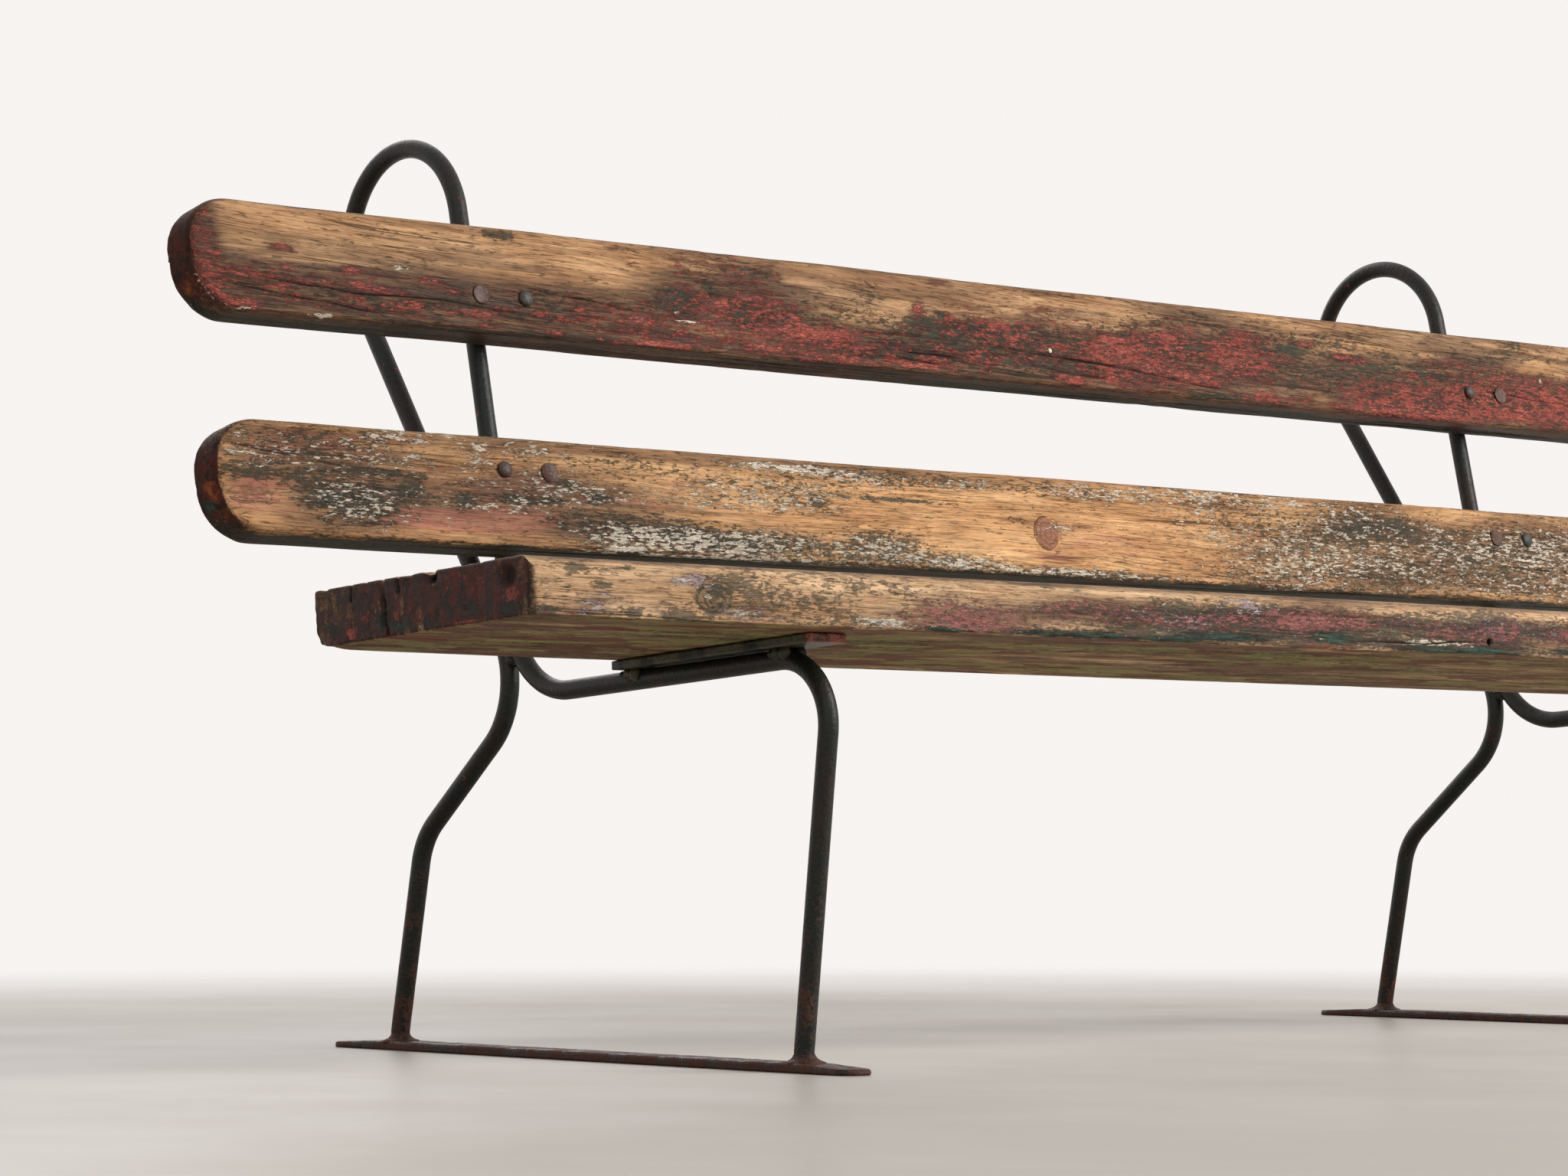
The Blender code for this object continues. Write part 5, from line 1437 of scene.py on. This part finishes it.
class BENCH_OT_boards(bpy.types.Operator):
    """Make the seat plank and the two back slats"""

    bl_idname = "bench.boards"
    bl_label = "Boards"

    def execute(self, context):
        sizes = context.scene.bench_sizes
        tints = context.scene.bench_colours
        chip = (0.0078, 0.0025, 0.0025)
        fleck = (0.0056, 0.0019, 0.0019)
        speck = (0.0062, 0.0017, 0.0017)
        dark_end = ("dark_end", 1.0, 1.0, tints.dark_rust, tints.rust, (0.012, 0.009, 0.009), 0.08, 0.0, 0.0)
        rust_end = ("rust_end", 1.0, 0.90, tints.rust_end, tints.mulberry, (0.010, 0.006, 0.006), 0.10, 0.0, 0.0)
        green_end = ("green_end", 1.0, 0.95, tints.teal, tints.green, (0.010, 0.006, 0.006), 0.08, 0.0, 0.2)
        top_wood = painted_wood("top_slat_paint", BACK_FRAME, tints, (tints.pale_wood, tints.tan_wood), 0.030, (
            dark_end, rust_end, green_end,
            ("red_paint", 1.0, 0.72, tints.crimson, tints.mulberry, (0.030, 0.0036, 0.0036), 0.10, 0.0, 0.2),
            ("green_paint", 1.0, 0.92, tints.green, tints.moss, (0.0064, 0.0021, 0.0021), 0.03, 0.3, 0.3),
            ("red_paint", 0.77, 1.0, tints.coral, tints.scarlet, chip, 0.02, 0.70, 0.7),
            ("pale_paint", 1.0, 1.0, tints.cream, tints.dust, speck, 0.03, 0.3, 0.3)), rough_side="dark_end")
        lower_wood = painted_wood("lower_slat_paint", BACK_FRAME, tints, (tints.gold_wood, tints.amber_wood), 0.012, (
            dark_end, rust_end, green_end,
            ("salmon_paint", 1.0, 0.50, tints.salmon, tints.rose, (0.040, 0.0030, 0.0030), 0.20, 0.0, 0.0),
            ("green_paint", 1.0, 0.92, tints.green, tints.moss, (0.0056, 0.0017, 0.0017), 0.03, 0.3, 0.4),
            ("red_paint", 1.0, 0.85, tints.rose, tints.umber, fleck, 0.05, 0.3, 0.2),
            ("cream_paint", 1.0, 1.0, tints.cream, tints.dust, speck, 0.02, 0.40, 0.8)),
            knot=(tints.knot, tints.knot_dark), rough_side="dark_end")
        seat_wood = painted_wood("seat_paint", SEAT_FRAME, tints, (tints.seat_pale, tints.seat_tan), 0.020, (
            ("olive_paint", 1.0, 0.95, tints.olive, tints.knot_dark, (0.05, 0.016, 0.016), 0.08, 0.0, 0.0),
            ("maroon_paint", 1.0, 1.0, tints.maroon, tints.dark_rust, (0.02, 0.006, 0.014), 0.08, 0.0, 0.0),
            ("smudge", 1.0, 0.80, tints.green, tints.moss, fleck, 0.05, 0.1, 0.2),
            ("pink_paint", 1.0, 0.42, tints.pink, tints.plum, (0.016, 0.0030, 0.0030), 0.10, 0.0, 0.0),
            ("plum_paint", 1.0, 0.95, tints.plum, tints.lilac, speck, 0.03, 0.3, 0.5),
            ("pink_paint", 0.84, 0.95, tints.blush, tints.pink, fleck, 0.03, 0.35, 0.7),
            ("teal_paint", 1.0, 0.90, tints.teal, tints.green, (0.020, 0.0026, 0.0026), 0.06, 0.1, 0.3),
            ("red_paint", 1.0, 1.0, tints.coral, tints.crimson, (0.006, 0.0030, 0.0030), 0.05, 0.2, 0.3),
            ("cream_paint", 1.0, 1.0, tints.cream, tints.dust, speck, 0.03, 0.3, 0.3)),
            knot=(tints.moss, tints.umber), rough_side="olive_paint")
        seed = sizes.seed
        top = show("top_slat_weathered", make_slat("top", sizes, seed), top_wood)
        lower = show("lower_slat_weathered", make_slat("lower", sizes, seed + 1000), lower_wood)
        seat = show("seat_plank_weathered", make_seat(sizes, seed + 2000), seat_wood)
        attach(top, "top_slat_wood", "top_back_slat")
        attach(lower, "lower_slat_wood", "lower_back_slat")
        attach(seat, "seat_wood", "seat_plank")
        return {"FINISHED"}


class BENCH_OT_bars(bpy.types.Operator):
    """Sweep the bent bar of each support and weld its uprights together"""

    bl_idname = "bench.bars"
    bl_label = "Bent bars"

    def execute(self, context):
        sizes = context.scene.bench_sizes
        tints = context.scene.bench_colours
        finish = iron_finish("worn_bar_paint", tints, tints.bar_paint, tints.bar_brown, tints.rust, 0.18, 0.22, 0.32)
        across = (CROOK_CENTRE - DIP_CENTRE).normalized()
        middle = DIP_CENTRE + across * (DIP_BEND + (BAR_DIAMETER + HAIRLINE) / 2)
        rise = Vector((-across.y, across.x))
        for number, (side, sign) in enumerate(SIDES):
            x = SUPPORT_X * sign
            bar = grown(side + "_bar_worn", line_mesh([(x, y, z) for y, z in bar_route()]), bent_bar_tree(), {
                "Diameter": sizes.bar_diameter, "Step": 0.004, "Pitting": sizes.pitting,
                "Seed": float(sizes.seed + 3 * number), "Material": finish})
            attach(bar, "bar_iron", side + "_bar_frame")
            for face, offset in (("outer", -0.0045), ("inner", 0.0045)):
                ends = [middle + rise * reach for reach in (-0.016, 0.0, 0.016)]
                bead = grown(f"{side}_{face}_upright_weld", line_mesh([(x + offset, y, z) for y, z in ends]),
                             weld_bead_tree(), {"Radius": sizes.weld_bead, "Step": 0.004,
                                                "Seed": sizes.seed + number, "Material": finish})
                attach(bead, "bar_iron")
        return {"FINISHED"}


class BENCH_OT_runners(bpy.types.Operator):
    """Make the flat runners with the weld round each foot"""

    bl_idname = "bench.runners"
    bl_label = "Runners"

    def execute(self, context):
        sizes = context.scene.bench_sizes
        tints = context.scene.bench_colours
        finish = iron_finish("rusted_runner", tints, tints.dark_rust, tints.bar_brown, tints.rust, 0.55, 0.0)
        half = (RUNNER_REAR - RUNNER_FRONT) / 2
        for number, (side, sign) in enumerate(SIDES):
            seed = sizes.seed + 31 * number
            plate = iron_plank(side + "_plate", half, RUNNER_WIDTH / 2, RUNNER_THICKNESS, 0.0165, 0.0026, RUNNER_TIP,
                               sizes, seed)
            plate.transform(Matrix.Translation((SUPPORT_X * sign, (RUNNER_FRONT + RUNNER_REAR) / 2, 0)) @ ALONG_Y)
            welds = [foot_weld((SUPPORT_X * sign, foot.x), seed + step) for step, foot in enumerate((FRONT_FOOT, REAR_FOOT))]
            runner = show(side + "_runner_rusted", merged(side + "_runner", [plate] + welds), finish)
            attach(runner, "runner_iron", side + "_runner")
        return {"FINISHED"}


class BENCH_OT_straps(bpy.types.Operator):
    """Make the seat straps and tack them to the bar"""

    bl_idname = "bench.straps"
    bl_label = "Seat straps"

    def execute(self, context):
        sizes = context.scene.bench_sizes
        tints = context.scene.bench_colours
        finish = iron_finish("worn_strap_paint", tints, tints.strap_paint, tints.bar_paint, tints.rust, 0.22, 0.16, front_end=STRAP_FRONT)
        half = (STRAP_REAR - STRAP_FRONT) / 2
        for number, (side, sign) in enumerate(SIDES):
            seed = sizes.seed + 57 * number
            plate = iron_plank(side + "_strap", half, STRAP_WIDTH / 2, STRAP_THICKNESS, 0.002, 0.0014, STRAP_THICKNESS,
                               sizes, seed)
            x = SUPPORT_X * sign
            plate.transform(SEAT_FRAME @ Matrix.Translation((x, STRAP_FRONT + half, STRAP_BOTTOM)) @ ALONG_Y)
            attach(show(side + "_strap_worn", plate, finish), "strap_iron", side + "_seat_strap")
            for edge, offset in (("outer", -0.0085), ("inner", 0.0085)):
                for end, start in (("front", 0.052), ("rear", STRAP_REAR - 0.018)):
                    ends = [SEAT_FRAME @ Vector((x + offset, start + step, STRAP_BOTTOM - 0.0045)) for step in (0, 0.007, 0.014)]
                    tack = grown(f"{side}_{edge}_{end}_strap_weld", line_mesh(ends), weld_bead_tree(), {
                        "Radius": sizes.weld_bead, "Step": 0.004, "Seed": seed + 5, "Material": finish})
                    attach(tack, "strap_iron")
        return {"FINISHED"}


class BENCH_OT_fixings(bpy.types.Operator):
    """Set the clips, bolts, nuts, screws and nails"""

    bl_idname = "bench.fixings"
    bl_label = "Fixings"

    def execute(self, context):
        sizes = context.scene.bench_sizes
        tints = context.scene.bench_colours
        dark = iron_finish("dark_bolt_iron", tints, tints.bar_paint, tints.dark_rust, tints.rust, 0.30, 0.0)
        grey = iron_finish("grey_bolt_iron", tints, tints.bolt_grey, tints.rust, tints.dark_rust, 0.30, 0.0)
        brown = iron_finish("brown_bolt_iron", tints, tints.bolt_brown, tints.rust, tints.rust, 0.45, 0.0)
        nails = iron_finish("nail_iron", tints, tints.dust, tints.umber, tints.rust, 0.25, 0.0)
        rows = {"top": TOP_SLAT_Z + TOP_BOLT_Z, "lower": LOWER_SLAT_Z + LOWER_BOLT_Z}
        upright = BACK_FRAME.to_euler()
        backwards = (BACK_FRAME @ Matrix.Rotation(-math.pi / 2, 4, "X")).to_euler()
        shapes = {
            "domed": (scratch_object(bolt_shape(sizes.dome_head, 0.0034, 1.0, "dome_bolt")), grey),
            "flat": (scratch_object(bolt_shape(sizes.flat_head, 0.0008, 0.7, "flat_bolt")), brown),
        }
        outwards = {"outer": BOLT_SIDE, "inner": -BOLT_SIDE}
        styles = {"domed": (("top", "inner"), ("lower", "outer")), "flat": (("top", "outer"), ("lower", "inner"))}
        nut = scratch_object(nut_shape(sizes.nut_width))
        clip = scratch_object(clip_shape())
        screw = scratch_object(screw_shape())
        nail = scratch_object(turned([(0, -0.0008), (0.0022, -0.0006), (0.0027, 0), (0.0012, 0.0004), (0.0012, 0.012), (0, 0.014)],
                                     14, "nail"))
        nut_y = SLAT_BACK + HAIRLINE * 2 + CLIP_THICKNESS
        for style, (shape, finish) in shapes.items():
            places = [(sign * (SUPPORT_X + outwards[edge]), rows[level]) for level, edge in styles[style] for _, sign in SIDES]
            names = [f"{side}_{level}_{edge}_" for level, edge in styles[style] for side, _ in SIDES]
            heads = point_mesh([BACK_FRAME @ Vector((x, SLAT_FRONT - HAIRLINE, z)) for x, z in places])
            bolts = grown(style + "_bolts", heads, fixings_tree(), {
                "Shape": shape, "Facing": backwards, "Spin": math.tau, "Seed": sizes.seed, "Material": finish})
            attach(bolts, "bolt_steel", *[name + "bolt" for name in names])
            backs = point_mesh([BACK_FRAME @ Vector((x, nut_y, z)) for x, z in places])
            nuts = grown(style + "_bolt_nuts", backs, fixings_tree(), {
                "Shape": nut, "Facing": backwards, "Spin": math.pi / 2, "Seed": sizes.seed + 2, "Material": dark})
            attach(nuts, "nut_steel", *[name + "nut" for name in names])
        middles = point_mesh([BACK_FRAME @ Vector((sign * SUPPORT_X, 0, z)) for z in rows.values() for _, sign in SIDES])
        clips = grown("saddle_clips", middles, fixings_tree(), {
            "Shape": clip, "Facing": upright, "Spin": 0.0, "Seed": 0, "Material": dark})
        attach(clips, "clip_iron", *[f"{side}_{level}_clip" for level in rows for side, _ in SIDES])
        ends = (STRAP_FRONT + SCREW_INSET, SEAT_REAR - SCREW_INSET)
        spots = [(sign * SUPPORT_X + edge * SCREW_SIDE, y) for _, sign in SIDES for y in ends for edge in (-1, 1)]
        heads = point_mesh([SEAT_FRAME @ Vector((x, y, STRAP_BOTTOM)) for x, y in spots])
        screws = grown("seat_screws", heads, fixings_tree(), {
            "Shape": screw, "Facing": SEAT_FRAME.to_euler(), "Spin": math.pi, "Seed": sizes.seed + 4, "Material": dark})
        attach(screws, "screw_steel", *[f"{side}_seat_screw_{number}" for side, _ in SIDES for number in range(1, 5)])
        tips = point_mesh([BACK_FRAME @ Vector((x, SLAT_FRONT, TOP_SLAT_Z + z)) for x, z in NAILS])
        loose = grown("slat_nails", tips, fixings_tree(), {
            "Shape": nail, "Facing": backwards, "Spin": math.tau, "Seed": sizes.seed + 6, "Material": nails})
        attach(loose, "screw_steel")
        for item in [shape for shape, _ in shapes.values()] + [nut, clip, screw, nail]:
            bpy.data.objects.remove(item)
        return {"FINISHED"}


# Stage

CAMERA_PLACE = Vector((-3.1779, -3.1642, 0.1836))
CAMERA_YAW = math.radians(40.879)
CAMERA_PITCH = math.radians(3.2126)
CAMERA_ROLL = math.radians(0.109)
CAMERA_LENS = 106.41
FLOOR_RADIUS = 3.4
FLOOR_MIDDLE = (-0.30, -0.35, 0.0)
LAMPS = (
    ("key", (2.10, -3.40, 2.50), 2.0, 190.0),
    ("fill", (-3.20, -1.60, 1.80), 2.6, 14.0),
    ("rear", (0.60, 3.20, 2.60), 2.6, 45.0),
)


def floor_material(colours):
    """Pale, slightly glossy floor that fades out into the background."""
    material, tree, shader = new_material("pale_floor")
    place = put(tree, "ShaderNodeTexCoord").outputs["Object"]
    reach = put(tree, "ShaderNodeVectorMath", {0: place, 1: FLOOR_MIDDLE}, operation="DISTANCE").outputs["Value"]
    shader.inputs["Base Color"].default_value = opaque(colours.floor)
    clouds = speckle(tree, place, (2.5, 2.5, 2.5), 4.0)
    tree.links.new(ramp(tree, clouds, 0.3, 0.7, 0.34, 0.48), shader.inputs["Roughness"])
    shader.inputs["Specular IOR Level"].default_value = 0.22
    clear = put(tree, "ShaderNodeBsdfTransparent").outputs[0]
    faded = put(tree, "ShaderNodeMixShader", {0: ramp(tree, reach, 1.5, FLOOR_RADIUS), 1: shader.outputs[0], 2: clear})
    tree.links.new(faded.outputs[0], tree.nodes["Material Output"].inputs["Surface"])
    return material


def studio_world(colours):
    """Soft even light, with a pale background where the camera or a gloss sees it."""
    world = bpy.data.worlds.new("studio")
    world.use_nodes = True
    tree = world.node_tree
    light = tree.nodes["Background"]
    light.inputs["Color"].default_value = (1.0, 0.98, 0.96, 1.0)
    light.inputs["Strength"].default_value = 0.26
    seen = put(tree, "ShaderNodeBackground", {"Color": opaque(colours.backdrop), "Strength": 1.0})
    rays = put(tree, "ShaderNodeLightPath").outputs
    looked = reckon(tree, "MAXIMUM", rays["Is Camera Ray"], reckon(tree, "MAXIMUM", rays["Is Glossy Ray"],
                                                                   rays["Is Transmission Ray"]))
    mix = put(tree, "ShaderNodeMixShader", {0: looked, 1: light.outputs[0], 2: seen.outputs[0]})
    tree.links.new(mix.outputs[0], tree.nodes["World Output"].inputs["Surface"])
    return world


def aim_camera():
    """Camera at the photograph's place, low at the bench's left front."""
    ahead = Vector((math.sin(CAMERA_YAW), math.cos(CAMERA_YAW), 0))
    level = Vector((math.cos(CAMERA_YAW), -math.sin(CAMERA_YAW), 0))
    up = Vector((0, 0, 1))
    view = ahead * math.cos(CAMERA_PITCH) + up * math.sin(CAMERA_PITCH)
    top = up * math.cos(CAMERA_PITCH) - ahead * math.sin(CAMERA_PITCH)
    right = level * math.cos(CAMERA_ROLL) + top * math.sin(CAMERA_ROLL)
    top = top * math.cos(CAMERA_ROLL) - level * math.sin(CAMERA_ROLL)
    data = bpy.data.cameras.new("camera")
    data.lens = CAMERA_LENS
    data.sensor_width = 36
    camera = bpy.data.objects.new("camera", data)
    bpy.context.scene.collection.objects.link(camera)
    camera.matrix_world = Matrix((right, top, -view)).transposed().to_4x4()
    camera.location = CAMERA_PLACE
    bpy.context.scene.camera = camera


class BENCH_OT_stage(bpy.types.Operator):
    """Set up the floor, the lamps, the background and the camera"""

    bl_idname = "bench.stage"
    bl_label = "Stage"

    def execute(self, context):
        colours = context.scene.bench_colours
        shape = bmesh.new()
        bmesh.ops.create_circle(shape, cap_ends=True, radius=FLOOR_RADIUS, segments=96)
        floor = show("floor", closed_mesh(shape, "floor"), floor_material(colours))
        for name, place, size, power in LAMPS:
            data = bpy.data.lights.new(name, "AREA")
            data.shape = "SQUARE"
            data.size = size
            data.energy = power
            lamp = bpy.data.objects.new(name, data)
            context.scene.collection.objects.link(lamp)
            lamp.location = place
            lamp.rotation_euler = (Vector((0, 0, 0.4)) - Vector(place)).to_track_quat("-Z", "Y").to_euler()
        context.scene.world = studio_world(colours)
        context.scene.view_settings.view_transform = "Standard"
        aim_camera()
        return {"FINISHED"}


class BENCH_PT_panel(bpy.types.Panel):
    """Sizes, colours and pieces of the bench"""

    bl_idname = "BENCH_PT_panel"
    bl_label = "Bench"
    bl_space_type = "VIEW_3D"
    bl_region_type = "UI"
    bl_category = "Bench"

    def draw(self, context):
        for group in (context.scene.bench_sizes, context.scene.bench_colours):
            column = self.layout.column()
            for name in group.__annotations__:
                column.prop(group, name)
        for piece in OPERATORS:
            self.layout.operator(piece.bl_idname)


OPERATORS = (BENCH_OT_stage, BENCH_OT_boards, BENCH_OT_bars, BENCH_OT_runners, BENCH_OT_straps, BENCH_OT_fixings)
CLASSES = (BenchSizes, BenchColours, *OPERATORS, BENCH_PT_panel)


def register():
    for item in CLASSES:
        bpy.utils.register_class(item)
    bpy.types.Scene.bench_sizes = PointerProperty(type=BenchSizes)
    bpy.types.Scene.bench_colours = PointerProperty(type=BenchColours)


def unregister():
    del bpy.types.Scene.bench_colours
    del bpy.types.Scene.bench_sizes
    for item in reversed(CLASSES):
        bpy.utils.unregister_class(item)


def main():
    kept = list(frame["nodes"].values()) + list(frame["bodies"].values())
    for item in list(bpy.data.objects):
        if item not in kept:
            bpy.data.objects.remove(item)
    register()
    bpy.ops.bench.stage()
    bpy.ops.bench.boards()
    bpy.ops.bench.bars()
    bpy.ops.bench.runners()
    bpy.ops.bench.straps()
    bpy.ops.bench.fixings()


if __name__ == "__main__":
    main()
